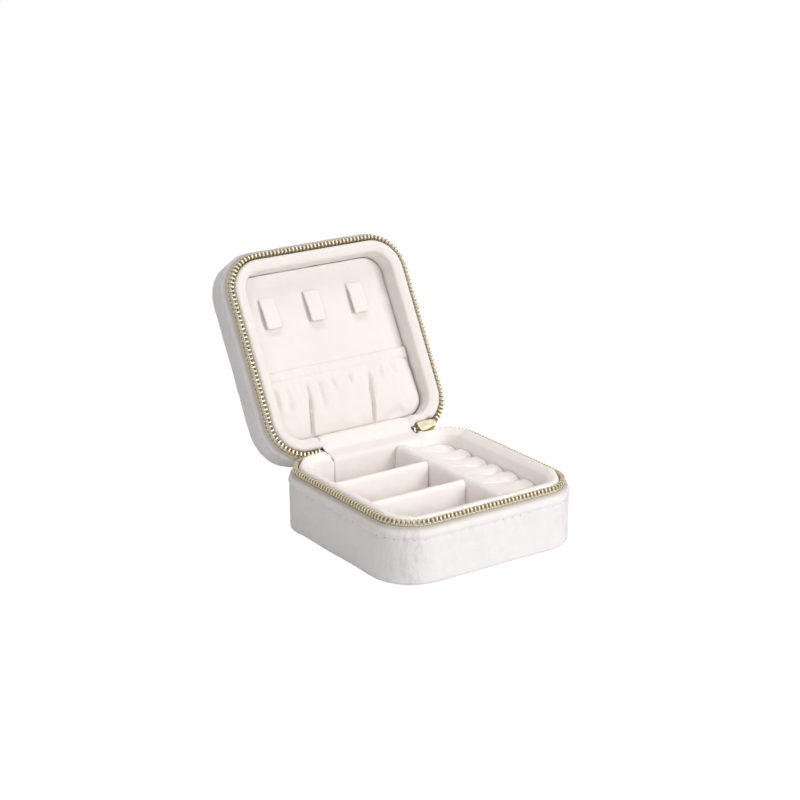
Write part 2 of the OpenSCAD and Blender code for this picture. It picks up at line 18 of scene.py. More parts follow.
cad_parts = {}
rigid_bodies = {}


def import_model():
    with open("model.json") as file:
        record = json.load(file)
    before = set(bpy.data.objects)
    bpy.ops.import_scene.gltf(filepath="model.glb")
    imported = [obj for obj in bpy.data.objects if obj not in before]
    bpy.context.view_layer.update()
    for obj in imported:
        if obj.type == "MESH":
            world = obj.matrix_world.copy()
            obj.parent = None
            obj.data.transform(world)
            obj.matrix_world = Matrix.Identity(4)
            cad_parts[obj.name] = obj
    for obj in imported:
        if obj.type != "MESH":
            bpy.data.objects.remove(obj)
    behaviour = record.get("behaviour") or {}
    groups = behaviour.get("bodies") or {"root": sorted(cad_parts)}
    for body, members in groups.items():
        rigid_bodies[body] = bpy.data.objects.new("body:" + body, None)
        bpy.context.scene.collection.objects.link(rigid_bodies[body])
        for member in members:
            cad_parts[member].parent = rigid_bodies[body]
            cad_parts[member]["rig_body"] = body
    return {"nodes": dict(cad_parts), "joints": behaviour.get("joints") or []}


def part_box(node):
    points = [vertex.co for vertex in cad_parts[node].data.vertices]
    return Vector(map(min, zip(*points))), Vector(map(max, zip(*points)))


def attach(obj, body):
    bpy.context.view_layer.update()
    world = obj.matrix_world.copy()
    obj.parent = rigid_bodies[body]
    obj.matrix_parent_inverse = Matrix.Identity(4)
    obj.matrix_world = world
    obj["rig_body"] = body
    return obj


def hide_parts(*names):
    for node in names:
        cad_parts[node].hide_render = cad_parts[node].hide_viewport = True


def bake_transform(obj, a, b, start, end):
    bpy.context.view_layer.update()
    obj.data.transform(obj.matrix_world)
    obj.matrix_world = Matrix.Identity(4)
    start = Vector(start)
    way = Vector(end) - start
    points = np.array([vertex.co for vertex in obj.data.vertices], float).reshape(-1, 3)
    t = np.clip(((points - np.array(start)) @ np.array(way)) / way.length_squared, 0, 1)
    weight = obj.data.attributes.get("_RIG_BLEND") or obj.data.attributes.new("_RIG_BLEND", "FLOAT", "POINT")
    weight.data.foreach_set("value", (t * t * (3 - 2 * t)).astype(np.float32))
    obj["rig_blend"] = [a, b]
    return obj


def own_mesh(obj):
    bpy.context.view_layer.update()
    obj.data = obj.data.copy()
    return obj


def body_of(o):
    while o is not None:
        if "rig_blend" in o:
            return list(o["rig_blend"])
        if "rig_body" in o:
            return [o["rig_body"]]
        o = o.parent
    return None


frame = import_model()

MM = 0.001
LOG = logging.getLogger("jewellery_case")
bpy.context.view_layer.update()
Array = np.ndarray
Point = tuple[float, float, float]
Colour = tuple[float, float, float, float]
Socket = bpy.types.NodeSocket
Piece = bpy.types.Object
BAND_SEED = {"base": 11, "lid": 12}
LINING_SEED = {"base": 21, "lid": 25}


class Half(Enum):
    """The two halves of the case, which meet at the closing plane."""

    BASE = "base"
    LID = "lid"


# ---- Curves and noise ----------------------------------------------------------------


def soften(points: Array, rounds: int = 3, closed: bool = True) -> Array:
    """Rounds a polyline by corner cutting.

    Each round replaces every side by the points at a quarter and three quarters of it, which
    tends to a smooth curve that touches the middle of each side.

    Args:
        points: Corners of the polyline, one row each.
        rounds: How many times the corners are cut.
        closed: Whether the last corner joins the first.

    Returns:
        The rounded polyline; an open one keeps its two ends.
    """
    line = np.asarray(points, float)
    for _ in range(rounds):
        after = np.roll(line, -1, axis=0)
        cut = np.stack([0.75 * line + 0.25 * after, 0.25 * line + 0.75 * after], axis=1)
        if closed:
            line = cut.reshape(-1, line.shape[1])
        else:
            ends = line[0], line[-1]
            line = cut[:-1].reshape(-1, line.shape[1])
            line[0], line[-1] = ends
    return line


def resample(points: Array, count: int, closed: bool = True) -> Array:
    """Spaces points evenly along a polyline.

    Args:
        points: The polyline, one row each.
        count: How many points come back.
        closed: Whether the last point joins the first.

    Returns:
        Points at equal lengths along the line.
    """
    line = np.vstack([points, points[:1]]) if closed else np.asarray(points, float)
    reach = np.concatenate([[0], np.cumsum(np.linalg.norm(np.diff(line, axis=0), axis=1))])
    at = np.linspace(0, reach[-1], count, endpoint=not closed)
    return np.stack([np.interp(at, reach, line[:, k]) for k in range(line.shape[1])], axis=1)


def with_depth(flat: Array, depth: Array) -> Array:
    """Joins points (x, y) with their depths, which spread over the missing directions."""
    return np.concatenate([flat, np.broadcast_to(depth, flat.shape[:-1])[..., None]], axis=-1)


def ease(value: Array, start: float, end: float) -> Array:
    """Runs smoothly from 0 at start to 1 at end, as 3t^2 - 2t^3."""
    t = np.clip((value - start) / (end - start), 0, 1)
    return t * t * (3 - 2 * t)


def hump(value: Array, middle: float, width: float) -> Array:
    """A bell that is 1 at its middle and 1/e at a width from it."""
    return np.exp(-((value - middle) / width) ** 2)


def ripples(x: Array, seed: int, count: int, shortest: float, longest: float) -> Array:
    """Gathers across a cloth: a sum of sines with random wavelengths and phases.

    Args:
        x: Places across the cloth, in metres.
        seed: Seed of the random numbers.
        count: How many sines are added.
        shortest: Shortest wavelength, in millimetres.
        longest: Longest wavelength, in millimetres.

    Returns:
        The sum at each place, between -count and count.
    """
    rng = np.random.default_rng(seed)
    lengths, phases = rng.uniform(shortest, longest, count), rng.uniform(0, 6, count)
    return sum(np.sin(2 * math.pi * x / (length * MM) + phase)
               for length, phase in zip(lengths, phases))


@dataclass(frozen=True)
class SoftNoise:
    """A sum of plane waves with random directions and phases, which varies about -1 to 1."""

    wavelength: float
    seed: int
    waves: int = 20

    def __call__(self, points: Array) -> Array:
        """Gives the noise at points.

        Args:
            points: Points in any number of directions; the last axis holds their coordinates.

        Returns:
            One number for each point.
        """
        rng = np.random.default_rng(self.seed)
        heading = rng.normal(size=(self.waves, points.shape[-1]))
        heading /= np.linalg.norm(heading, axis=1, keepdims=True)
        rate = 2 * math.pi / self.wavelength * rng.uniform(0.6, 1.5, (self.waves, 1))
        phase = rng.uniform(0, 2 * math.pi, self.waves)
        return np.sin(points @ (heading * rate).T + phase).sum(-1) / math.sqrt(self.waves)


# ---- Meshes --------------------------------------------------------------------------


def grid_normals(grid: Array, wrap: tuple[bool, bool]) -> Array:
    """Unit normals of a grid of points, from the cross product of its two directions.

    Args:
        grid: Points of shape (rows, columns, 3).
        wrap: Whether the rows and the columns close on themselves.

    Returns:
        Normals of the same shape.
    """

    def slope(axis: int) -> Array:
        """Central differences along one direction of the grid.

        Args:
            axis: 0 for the rows, 1 for the columns.

        Returns:
            Differences of the grid's shape.
        """
        if wrap[axis]:
            return np.roll(grid, -1, axis) - np.roll(grid, 1, axis)
        return np.gradient(grid, axis=axis)

    normal = np.cross(slope(0), slope(1))
    return normal / np.maximum(np.linalg.norm(normal, axis=-1, keepdims=True), 1e-12)


def push_out(grid: Array, wrap: tuple[bool, bool], amount: Array) -> Array:
    """Moves the points of a tube along its normals, away from the middle of each ring.

    Args:
        grid: Points of shape (rings, sides, 3).
        wrap: Whether the rings and the sides close on themselves.
        amount: How far each point goes, of shape (rings, sides).

    Returns:
        The moved points.
    """
    normal = grid_normals(grid, wrap)
    sign = np.sign((normal * (grid - grid.mean(1, keepdims=True))).sum())
    return grid + sign * normal * amount[..., None]


class Skin:
    """Collects patches of points and faces, and makes one Blender object of them."""

    def __init__(self) -> None:
        """Starts with no patches."""
        self.points: list[Array] = []
        self.faces: list[list[int]] = []
        self.uvs: list[Array] = []
        self.count = 0

    def add(self, points: Array, uv: Array | None = None) -> int:
        """Adds points.

        Args:
            points: Any array whose last axis holds x, y and z.
            uv: One pair for each point, in metres.

        Returns:
            The index of the first of them.
        """
        flat = points.reshape(-1, 3)
        self.points.append(flat)
        self.uvs.append(np.zeros((len(flat), 2)) if uv is None else uv.reshape(-1, 2))
        self.count += len(flat)
        return self.count - len(flat)

    def grid(self, points: Array, wrap: tuple[bool, bool] = (False, False),
             uv: Array | None = None) -> int:
        """Adds a grid of quads.

        Args:
            points: Points of shape (rows, columns, 3).
            wrap: Whether the rows and the columns close on themselves.
            uv: One pair for each point, in metres.

        Returns:
            The index of the grid's first point.
        """
        rows, columns = points.shape[:2]
        first = self.add(points, uv)
        index = first + np.arange(rows * columns).reshape(rows, columns)
        if wrap[0]:
            index = np.vstack([index, index[:1]])
        if wrap[1]:
            index = np.hstack([index, index[:, :1]])
        quads = np.stack([index[:-1, :-1], index[1:, :-1], index[1:, 1:], index[:-1, 1:]], axis=-1)
        self.faces += quads.reshape(-1, 4).tolist()
        return first

    def tubes(self, points: Array, uv: Array | None = None) -> None:
        """Adds closed tubes with flat ends.

        Args:
            points: Points of shape (tubes, rings, sides, 3).
            uv: One pair for each point, in metres.
        """
        number, rings, sides = points.shape[:3]
        for k in range(number):
            first = self.grid(points[k], (False, True), None if uv is None else uv[k])
            last = first + (rings - 1) * sides
            self.faces.append(list(range(first, first + sides)))
            self.faces.append(list(range(last + sides - 1, last - 1, -1)))

    @classmethod
    def of_tubes(cls, name: str, points: Array, uv: Array | None = None,
                 smooth: bool = True) -> Piece:
        """Makes an object of closed tubes with flat ends.

        Args:
            name: Name of the piece.
            points: Points of shape (tubes, rings, sides, 3).
            uv: One pair for each point, in metres.
            smooth: Whether its faces are shaded smooth.

        Returns:
            The object.
        """
        skin = cls()
        skin.tubes(points, uv)
        return skin.build(name, smooth)

    def build(self, name: str, smooth: bool = True, weld: bool = False) -> Piece:
        """Makes the object, with its faces pointing outwards.

        Args:
            name: Name of the piece.
            smooth: Whether its faces are shaded smooth.
            weld: Whether points at the same place are merged first.

        Returns:
            The object, linked to the scene, at the origin.
        """
        mesh = bpy.data.meshes.new(name)
        points = np.vstack(self.points)
        mesh.from_pydata(points.tolist(), [], self.faces)
        loops = np.empty(len(mesh.loops), np.int32)
        mesh.loops.foreach_get("vertex_index", loops)
        layer = mesh.uv_layers.new(name="UVMap")
        layer.data.foreach_set("uv", np.vstack(self.uvs)[loops].astype(np.float32).ravel())
        mesh.polygons.foreach_set("use_smooth", np.full(len(mesh.polygons), smooth))
        mesh.update()
        if weld:
            merge_points(mesh)
        if enclosed_volume(mesh) < 0:
            mesh.flip_normals()
        piece = bpy.data.objects.new(name, mesh)
        bpy.context.scene.collection.objects.link(piece)
        return piece


def merge_points(mesh: bpy.types.Mesh, gap: float = 1e-6) -> None:
    """Merges points of a mesh that lie within a gap of each other.

    Args:
        mesh: The mesh, which is changed.
        gap: The widest gap that is closed.
    """
    work = bmesh.new()
    work.from_mesh(mesh)
    bmesh.ops.remove_doubles(work, verts=work.verts, dist=gap)
    work.to_mesh(mesh)
    work.free()


def enclosed_volume(mesh: bpy.types.Mesh) -> float:
    """Signed volume of a closed mesh.

    It is the sum over the triangles of a . (b x c) / 6, which is the volume of the tetrahedron
    between each of them and the origin.

    Args:
        mesh: A closed mesh.

    Returns:
        Its volume, above zero where its faces point outwards.
    """
    mesh.calc_loop_triangles()
    corners = np.empty(len(mesh.loop_triangles) * 3, np.int32)
    mesh.loop_triangles.foreach_get("vertices", corners)
    places = np.empty(len(mesh.vertices) * 3, np.float32)
    mesh.vertices.foreach_get("co", places)
    a, b, c = places.reshape(-1, 3).astype(float)[corners.reshape(-1, 3)].transpose(1, 0, 2)
    return float(np.einsum("ij,ij->i", a, np.cross(b, c)).sum() / 6)


def bar_rings(section: Array, length: float, edge: float, step: float) -> Array:
    """Rings of a bar that runs along a section's normal, with rounded ends.

    Towards each end the section moves inwards along its own normals by a quarter circle.

    Args:
        section: Closed outline of shape (sides, 2).
        length: Length of the bar.
        edge: Radius of the rounding at both ends.
        step: Distance between rings along the straight stretch.

    Returns:
        Points of shape (rings, sides, 3): along the bar, and the section's two coordinates.
    """
    turn = np.linspace(0, math.pi / 2, 5)
    straight = np.linspace(edge, length - edge, max(2, int(length / step)))
    along = np.concatenate([edge * (1 - np.cos(turn[:-1])), straight,
                            length - edge * (1 - np.cos(turn[-2::-1]))])
    inset = np.concatenate([edge * (1 - np.sin(turn[:-1])), np.zeros(len(straight)),
                            edge * (1 - np.sin(turn[-2::-1]))])
    tangent = np.roll(section, -1, axis=0) - np.roll(section, 1, axis=0)
    normal = np.stack([tangent[:, 1], -tangent[:, 0]], axis=1)
    normal /= np.linalg.norm(normal, axis=1, keepdims=True)
    if np.cross(section, np.roll(section, -1, axis=0)).sum() < 0:
        normal = -normal
    ring = section[None] - inset[:, None, None] * normal[None]
    return np.concatenate([np.broadcast_to(along[:, None, None], ring.shape[:2] + (1,)), ring], -1)


# ---- Sizes of the case ---------------------------------------------------------------


@dataclass(frozen=True)
class Outline:
    """The case's plan as a path round it, leftwards from the middle of the back.

    Lengths along the path are measured on the line that lies `inset` inside the outer face.
    """

    corner_x: float
    corner_y: float
    corner_r: float
    inset: float = 0.0

    def knots(self) -> Array:
        """Lengths along the path at which a straight run or a corner ends.

        Returns:
            Ten lengths, from 0 to the whole.
        """
        arc = math.pi / 2 * (self.corner_r - self.inset)
        wide, deep = 2 * self.corner_x, 2 * self.corner_y
        parts = [0, wide / 2, arc, deep, arc, wide, arc, deep, arc, wide / 2]
        return np.cumsum(parts)

    def length(self) -> float:
        """Length of the whole path."""
        return float(self.knots()[-1])

    def at(self, along: Array | float) -> tuple[Array, Array]:
        """Centres of turning and outward normals at lengths along the path.

        The centre runs with the path on a straight and rests at the corner's centre in a
        corner, while the normal turns there by a right angle.

        Args:
            along: Lengths along the path.

        Returns:
            The centres (x, y) and the normals (x, y).
        """
        x, y = self.corner_x, self.corner_y
        knots = self.knots()
        centre = np.stack([np.interp(along, knots, [0, -x, -x, -x, -x, x, x, x, x, 0]),
                           np.interp(along, knots, [y, y, y, -y, -y, -y, -y, y, y, y])], axis=-1)
        turned = np.interp(along, knots, [90, 90, 180, 180, 270, 270, 360, 360, 450, 450])
        angle = np.radians(turned)
        return centre, np.stack([np.cos(angle), np.sin(angle)], axis=-1)

    def stations(self, step: float) -> Array:
        """Even lengths along the closed path, about a step apart."""
        total = self.length()
        return np.linspace(0, total, round(total / step), endpoint=False)

    def sweep(self, along: Array, section: Array) -> Array:
        """Carries a wall section round the path.

        Args:
            along: Lengths along the path.
            section: Points (inset from the outer face, depth), alike for all lengths or with
                one section for each.

        Returns:
            Points (x, y, depth) of shape (lengths, section points, 3).
        """
        section = np.broadcast_to(section, (len(along),) + section.shape[-2:])
        centre, normal = self.at(along)
        radius = self.corner_r - section[..., :1]
        flat = centre[:, None, :] + radius * normal[:, None, :]
        return np.concatenate([flat, section[..., 1:]], axis=-1)

    def plate(self, inset: float, steps: Array) -> tuple[Array, Array]:
        """A square grid bent to the plan, moved inwards by an inset.

        Every square ring of the grid becomes the plan's outline, scaled by the ring's size.

        Args:
            inset: Distance of the plate's edge inside the outer face.
            steps: Grid lines from -1 to 1.

        Returns:
            Points (x, y) of shape (lines, lines, 2), and the size of each point's ring.
        """
        a, b = np.meshgrid(steps, steps, indexing="ij")
        size = np.maximum(np.abs(a), np.abs(b))
        radius = self.corner_r - inset

        def side(share: Array, run: float, out: float) -> tuple[Array, Array]:
            """Places along and out from one side.

            Args:
                share: How far along, from -1 to 1 for the middles of its two corners.
                run: Half of its straight stretch.
                out: Distance of that stretch's corner centres from the middle.

            Returns:
                Distances along the side and out from the middle.
            """
            reach = np.abs(share) * (run + math.pi / 4 * radius)
            straight = np.minimum(reach, run)
            angle = (reach - straight) / radius
            on = np.sign(share) * (straight + radius * np.sin(angle))
            return on, out + radius * np.cos(angle)

        safe = np.maximum(size, 1e-9)
        on_x, out_y = side(a / safe, self.corner_x, self.corner_y)
        on_y, out_x = side(b / safe, self.corner_y, self.corner_x)
        upright = np.abs(a) >= np.abs(b)
        x = np.where(upright, np.sign(a) * out_x, on_x)
        y = np.where(upright, on_y, np.sign(b) * out_y)
        return np.stack([x, y], axis=-1) * size[..., None], size


@dataclass(frozen=True)
class Case:
    """Sizes that several sub-assemblies share, in metres, and the lid's angle in radians."""

    half_w: float
    half_d: float
    base_h: float
    hinge_y: float
    open_angle: float
    lid_h: float = 17 * MM
    corner_r: float = 19.6 * MM
    chain_mid: float = 2.75 * MM
    cloth_left: float = 23.5 * MM
    cloth_right: float = 25 * MM
    rim_w: float = 10 * MM
    bay: float = 10.3 * MM
    cover_t: float = 1.3 * MM
    board_t: float = 1.6 * MM
    stitch_drop: float = 7.7 * MM
    panel_drop: float = 9.5 * MM
    panel_t: float = 3.05 * MM

    @classmethod
    def from_frame(cls) -> "Case":
        """Reads the case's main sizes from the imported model.

        Returns:
            The case.
        """
        low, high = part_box("base_band")
        hinge = next(j for j in frame["joints"] if j["name"] == "lid_hinge")
        _, hinge_y, base_h = hinge["pos_m"]
        return cls(half_w=(high[0] - low[0]) / 2, half_d=(high[1] - low[1]) / 2, base_h=base_h,
                   hinge_y=hinge_y, open_angle=math.radians(max(hinge["range_deg"])))

    def outline(self, inset: float = 0.0) -> Outline:
        """The plan, with lengths along it measured at an inset."""
        return Outline(self.half_w - self.corner_r, self.half_d - self.corner_r,
                       self.corner_r, inset)

    def chain_path(self) -> Outline:
        """The zip's path, with lengths measured along the middle of the teeth."""
        return self.outline(self.chain_mid)

    def clear_of_hinge(self, outline: Outline, along: Array) -> Array:
        """0 behind the hinge cloths and 1 from 3 mm past their ends.

        Args:
            outline: The path that the lengths are measured on.
            along: Lengths along it.

        Returns:
            One number for each length.
        """
        left, right, over = self.cloth_left, self.cloth_right, 3 * MM
        return np.minimum(ease(along, left, left + over),
                          ease(outline.length() - along, right, right + over))

    def depth(self, half: Half) -> float:
        """Depth of a half, from the closing plane to its outer face."""
        return self.base_h if half is Half.BASE else self.lid_h

    def place(self, half: Half, points: Array) -> Array:
        """Turns points of a half into the row frame, at rest.

        The base's points are (x, y, height - depth). The lid's are their mirror image at the
        closing plane, turned about the hinge by the angle at which the lid stands open.

        Args:
            half: The half that the points belong to.
            points: Points (x, y, depth).

        Returns:
            Points (x, y, z) of the same shape.
        """
        x, y, depth = np.moveaxis(np.asarray(points, float), -1, 0)
        if half is Half.BASE:
            return np.stack([x, y, self.base_h - depth], axis=-1)
        cos, sin = math.cos(self.open_angle), math.sin(self.open_angle)
        out = y - self.hinge_y
        return np.stack([x, self.hinge_y + cos * out + sin * depth,
                         self.base_h - sin * out + cos * depth], axis=-1)


# ---- Finishes ------------------------------------------------------------------------


class Signal:
    """A number that varies over a surface; arithmetic on it adds Math nodes."""

    def __init__(self, graph: "Graph", socket: Socket) -> None:
        """Wraps an output socket of a graph."""
        self.graph = graph
        self.socket = socket

    def _math(self, operation: str, first: "Signal | float",
              second: "Signal | float") -> "Signal":
        """Adds one Math node."""
        return self.graph.signal("ShaderNodeMath", {"operation": operation},
                                 {0: first, 1: second})

    def __add__(self, other: "Signal | float") -> "Signal":
        """This signal plus another or a number."""
        return self._math("ADD", self, other)

    def __sub__(self, other: "Signal | float") -> "Signal":
        """This signal minus another or a number."""
        return self._math("SUBTRACT", self, other)

    def __rsub__(self, other: "Signal | float") -> "Signal":
        """A number minus this signal."""
        return self._math("SUBTRACT", other, self)

    def __mul__(self, other: "Signal | float") -> "Signal":
        """This signal times another or a number."""
        return self._math("MULTIPLY", self, other)

    __radd__ = __add__
    __rmul__ = __mul__


class Graph:
    """The node tree of a material or of the world."""

    def __init__(self, owner: bpy.types.Material | bpy.types.World) -> None:
        """Takes hold of a tree and empties it.

        Args:
            owner: The material or the world that the tree belongs to.
        """
        owner.use_nodes = True
        self.owner = owner
        self.tree = owner.node_tree
        self.tree.nodes.clear()

    @classmethod
    def material(cls, name: str) -> "Graph":
        """The empty tree of a new material."""
        return cls(bpy.data.materials.new(name))

    def node(self, kind: str, settings: dict | None = None,
             sockets: dict | None = None) -> bpy.types.Node:
        """Adds a node.

        Args:
            kind: Blender's name for the node's type.
            settings: Properties to set first, such as an operation.
            sockets: Values or links of its inputs, by name or number.

        Returns:
            The node.
        """
        node = self.tree.nodes.new(kind)
        for key, value in (settings or {}).items():
            setattr(node, key, value)
        for key, value in (sockets or {}).items():
            if isinstance(value, Signal):
                value = value.socket
            if isinstance(value, Socket):
                self.tree.links.new(value, node.inputs[key])
            else:
                node.inputs[key].default_value = value
        return node

    def signal(self, kind: str, settings: dict | None = None, sockets: dict | None = None,
               output: int | str = 0) -> Signal:
        """Adds a node, as the method above does, and gives one of its outputs."""
        return Signal(self, self.node(kind, settings, sockets).outputs[output])

    def coordinates(self, kind: str = "Object") -> Socket:
        """Object or UV coordinates, in metres."""
        return self.node("ShaderNodeTexCoord").outputs[kind]

    def stretched(self, vector: Socket, scale: Point,
                  turn: Point = (0, 0, 0)) -> Socket:
        """Coordinates turned and scaled by a Mapping node."""
        mapping = self.node("ShaderNodeMapping", None,
                            {"Vector": vector, "Scale": scale, "Rotation": turn})
        return mapping.outputs["Vector"]

    def noise(self, vector: Socket, scale: float, detail: float = 2.0,
              roughness: float = 0.5, distortion: float = 0.0) -> Signal:
        """Noise from 0 to 1 whose grains measure about 1 / scale."""
        return self.signal("ShaderNodeTexNoise", None, {
            "Vector": vector, "Scale": scale, "Detail": detail, "Roughness": roughness,
            "Distortion": distortion})

    def step(self, value: Signal, low: float, high: float) -> Signal:
        """Runs smoothly from 0 where a signal is low to 1 where it is high."""
        return self.signal("ShaderNodeMapRange", {"interpolation_type": "SMOOTHSTEP"},
                           {"Value": value, "From Min": low, "From Max": high})

    def part(self, value: Signal) -> Signal:
        """What is left of a signal past its whole number."""
        return self.signal("ShaderNodeMath", {"operation": "FRACT"}, {0: value})

    def mix(self, factor: Signal, low: Colour | Socket,
            high: Colour | Socket) -> Socket:
        """Mixes two colours by a signal from 0 to 1."""
        node = self.node("ShaderNodeMix", {"data_type": "RGBA"}, {0: factor, 6: low, 7: high})
        return node.outputs[2]

    def bump(self, height: Signal, distance: float, strength: float) -> Socket:
        """A normal bent by a height from 0 to 1, where 1 stands for a distance."""
        node = self.node("ShaderNodeBump", None, {
            "Height": height, "Distance": distance, "Strength": strength})
        return node.outputs["Normal"]

    def surface(self, sockets: dict) -> bpy.types.Material:
        """Ends the tree in a Principled shader.

        Args:
            sockets: Values or links of the shader's inputs.

        Returns:
            The material.
        """
        shader = self.node("ShaderNodeBsdfPrincipled", None, sockets)
        self.node("ShaderNodeOutputMaterial", None, {"Surface": shader.outputs[0]})
        return self.owner


def rgba(red: float, green: float, blue: float) -> Colour:
    """An opaque colour, in linear light."""
    return (red, green, blue, 1.0)


@dataclass(frozen=True)
class Velvet:
    """Short-pile velvet: fine pile, patches where the pile leans another way, and sheen."""

    name: str
    colour: Colour
    leaning: Colour
    patch_scale: float = 70.0
    crush: float = 0.25
    sheen: float = 0.25

    def shade(self, graph: Graph, lean: Signal, height: Signal) -> tuple[Socket, Signal]:
        """Colour for a lean of the pile, and the height that bends its normal."""
        return graph.mix(lean, self.colour, self.leaning), height

    def build(self) -> bpy.types.Material:
        """Makes the material.

        Returns:
            The material.
        """
        graph = Graph.material(self.name)
        place = graph.coordinates()
        pile = graph.noise(place, 2600, 2, 0.6)
        tufts = graph.noise(place, 900, 3, 0.6)
        patches = graph.step(graph.noise(place, self.patch_scale, 4, 0.62, 0.6), 0.44, 0.66)
        brushed = graph.step(graph.noise(place, self.patch_scale * 5, 3, 0.6, 0.3), 0.42, 0.68)
        lean = patches * self.crush + brushed * (self.crush * 0.6) + tufts * 0.18
        colour, height = self.shade(graph, lean, pile * 0.7 + tufts * 0.6 + patches * 0.8)
        return graph.surface({
            "Base Color": colour,
            "Roughness": 0.98 - pile * 0.12,
            "Sheen Weight": self.sheen, "Sheen Roughness": 0.45,
            "Sheen Tint": rgba(1, 0.98, 0.96),
            "Specular IOR Level": 0.15,
            "Normal": graph.bump(height, 0.16 * MM, 0.5)})


@dataclass(frozen=True)
class SewnVelvet(Velvet):
    """Velvet with needle holes and a shoulder under the teeth, both darkened as painted shade.

    Its pile opens in upright cracks at the corners. The piece's UV map holds the length along
    the row, in stitches, and the distance across it, in metres, less than 0 on the shoulder's
    side. Its attribute "bend" is 1 at the corners and 0 on the straight sides.
    """

    # The next two colours are painted shade: dark spots at the needle holes, and a warm shade on the
    # shoulder under the teeth.
    hole_shade: Colour = (0.42, 0.38, 0.35, 1.0)
    shoulder_shade: Colour = (0.50, 0.44, 0.37, 1.0)
    hole_r: float = 0.36 * MM
    crack: float = 0.7
    pitch: float = 4.5 * MM
    shoulder: tuple[float, float] = (-5.8 * MM, -3.4 * MM)

    def shade(self, graph: Graph, lean: Signal, height: Signal) -> tuple[Socket, Signal]:
        """Adds the cracks, and painted shade at the holes and the shoulder, to the velvet's own colour and
        height.

        Painted shade makes round dark spots at the needle holes, midway between two stitches, of a strength
        that varies.

        Args:
            graph: The material's tree.
            lean: How far the pile leans, which darkens it.
            height: The velvet's own relief.

        Returns:
            The colour and the relief.
        """
        parts = graph.node("ShaderNodeSeparateXYZ", None, {0: graph.coordinates("UV")})
        along = Signal(graph, parts.outputs[0])
        near = (graph.part(along) - 0.5) * self.pitch
        off = Signal(graph, parts.outputs[1])
        # Painted shade: round dark spots at the needle holes.
        hole_shade = 1 - graph.step(near * near + off * off, (0.5 * self.hole_r) ** 2, self.hole_r ** 2)
        hole_shade = hole_shade * (0.15 + 0.85 * graph.step(graph.noise(graph.coordinates(), 60), 0.4, 0.6))
        upright = graph.stretched(graph.coordinates(), (1, 1, 0.28))
        veins = graph.step(graph.noise(upright, 420, 4, 0.65, 0.5), 0.47, 0.60)
        bend = graph.signal("ShaderNodeAttribute", {"attribute_name": "bend"}, output=2)
        cracks = bend * veins * self.crack
        pile = graph.mix(lean + cracks, self.colour, self.leaning)
        # Painted shade: the shoulder under the teeth is mixed to a warm dark tone, for shade and warm bounce
        # light.
        pile = graph.mix(1 - graph.step(off, *self.shoulder), pile, self.shoulder_shade)
        return graph.mix(hole_shade, pile, self.hole_shade), height - cracks * 1.2 - hole_shade


@dataclass(frozen=True)
class Metal:
    """Plated metal with faint tarnish in patches and fine polishing marks."""

    name: str
    colour: Colour
    tarnish: Colour
    roughness: float = 0.2

    def build(self) -> bpy.types.Material:
        """Makes the material.

        Returns:
            The material.
        """
        graph = Graph.material(self.name)
        place = graph.coordinates()
        marks = graph.noise(graph.stretched(place, (1, 6, 1)), 1500, 2)
        worn = graph.step(graph.noise(place, 420, 3, 0.6), 0.35, 0.75)
        return graph.surface({
            "Base Color": graph.mix(worn * 0.8, self.colour, self.tarnish),
            "Metallic": 1.0,
            "Roughness": self.roughness + marks * 0.14 + worn * 0.08,
            "Normal": graph.bump(marks, 0.01 * MM, 0.15)})


@dataclass(frozen=True)
class Woven:
    """Plain-woven tape: raised crossings of warp and weft that follow the piece's UV map."""

    name: str
    colour: Colour
    gaps: Colour
    thread: float = 0.42 * MM

    def build(self) -> bpy.types.Material:
        """Makes the material.

        Returns:
            The material.
        """
        graph = Graph.material(self.name)
        across = graph.stretched(graph.coordinates("UV"), (1 / self.thread, 1 / self.thread, 1),
                                 (0, 0, math.radians(45)))
        warp, weft = (graph.signal(
            "ShaderNodeTexWave", {"bands_direction": direction, "wave_profile": "SIN"},
            {"Vector": across, "Scale": 0.5, "Distortion": 0.3}, 1) for direction in "XY")
        crossing = warp * weft
        fuzz = graph.noise(graph.coordinates(), 4000, 2)
        return graph.surface({
            "Base Color": graph.mix(crossing * 0.8 + fuzz * 0.2, self.gaps, self.colour),
            "Roughness": 0.9 - crossing * 0.15,
            "Specular IOR Level": 0.25,
            "Normal": graph.bump(crossing + fuzz * 0.4, 0.1 * MM, 0.6)})


@dataclass(frozen=True)
class Grained:
    """A dry, matt solid with grains or cells: card, foam, thread or elastic."""

    name: str
    colour: Colour
    deep: Colour
    scale: float
    relief: float
    stretch: Point = (1, 1, 1)

    def build(self) -> bpy.types.Material:
        """Makes the material.

        Returns:
            The material.
        """
        graph = Graph.material(self.name)
        place = graph.stretched(graph.coordinates(), self.stretch)
        grain = graph.noise(place, self.scale, 3, 0.6)
        cells = graph.signal("ShaderNodeTexVoronoi", None,
                             {"Vector": place, "Scale": self.scale * 0.7}, "Distance")
        return graph.surface({
            "Base Color": graph.mix(grain * 0.6 + cells * 0.5, self.deep, self.colour),
            "Roughness": 0.85 + grain * 0.1,
            "Specular IOR Level": 0.3,
            "Normal": graph.bump(grain + cells, self.relief, 0.6)})


@dataclass(frozen=True)
class Finish:
    """A material, and the record's slot that it stands for."""

    material: bpy.types.Material
    slot: str


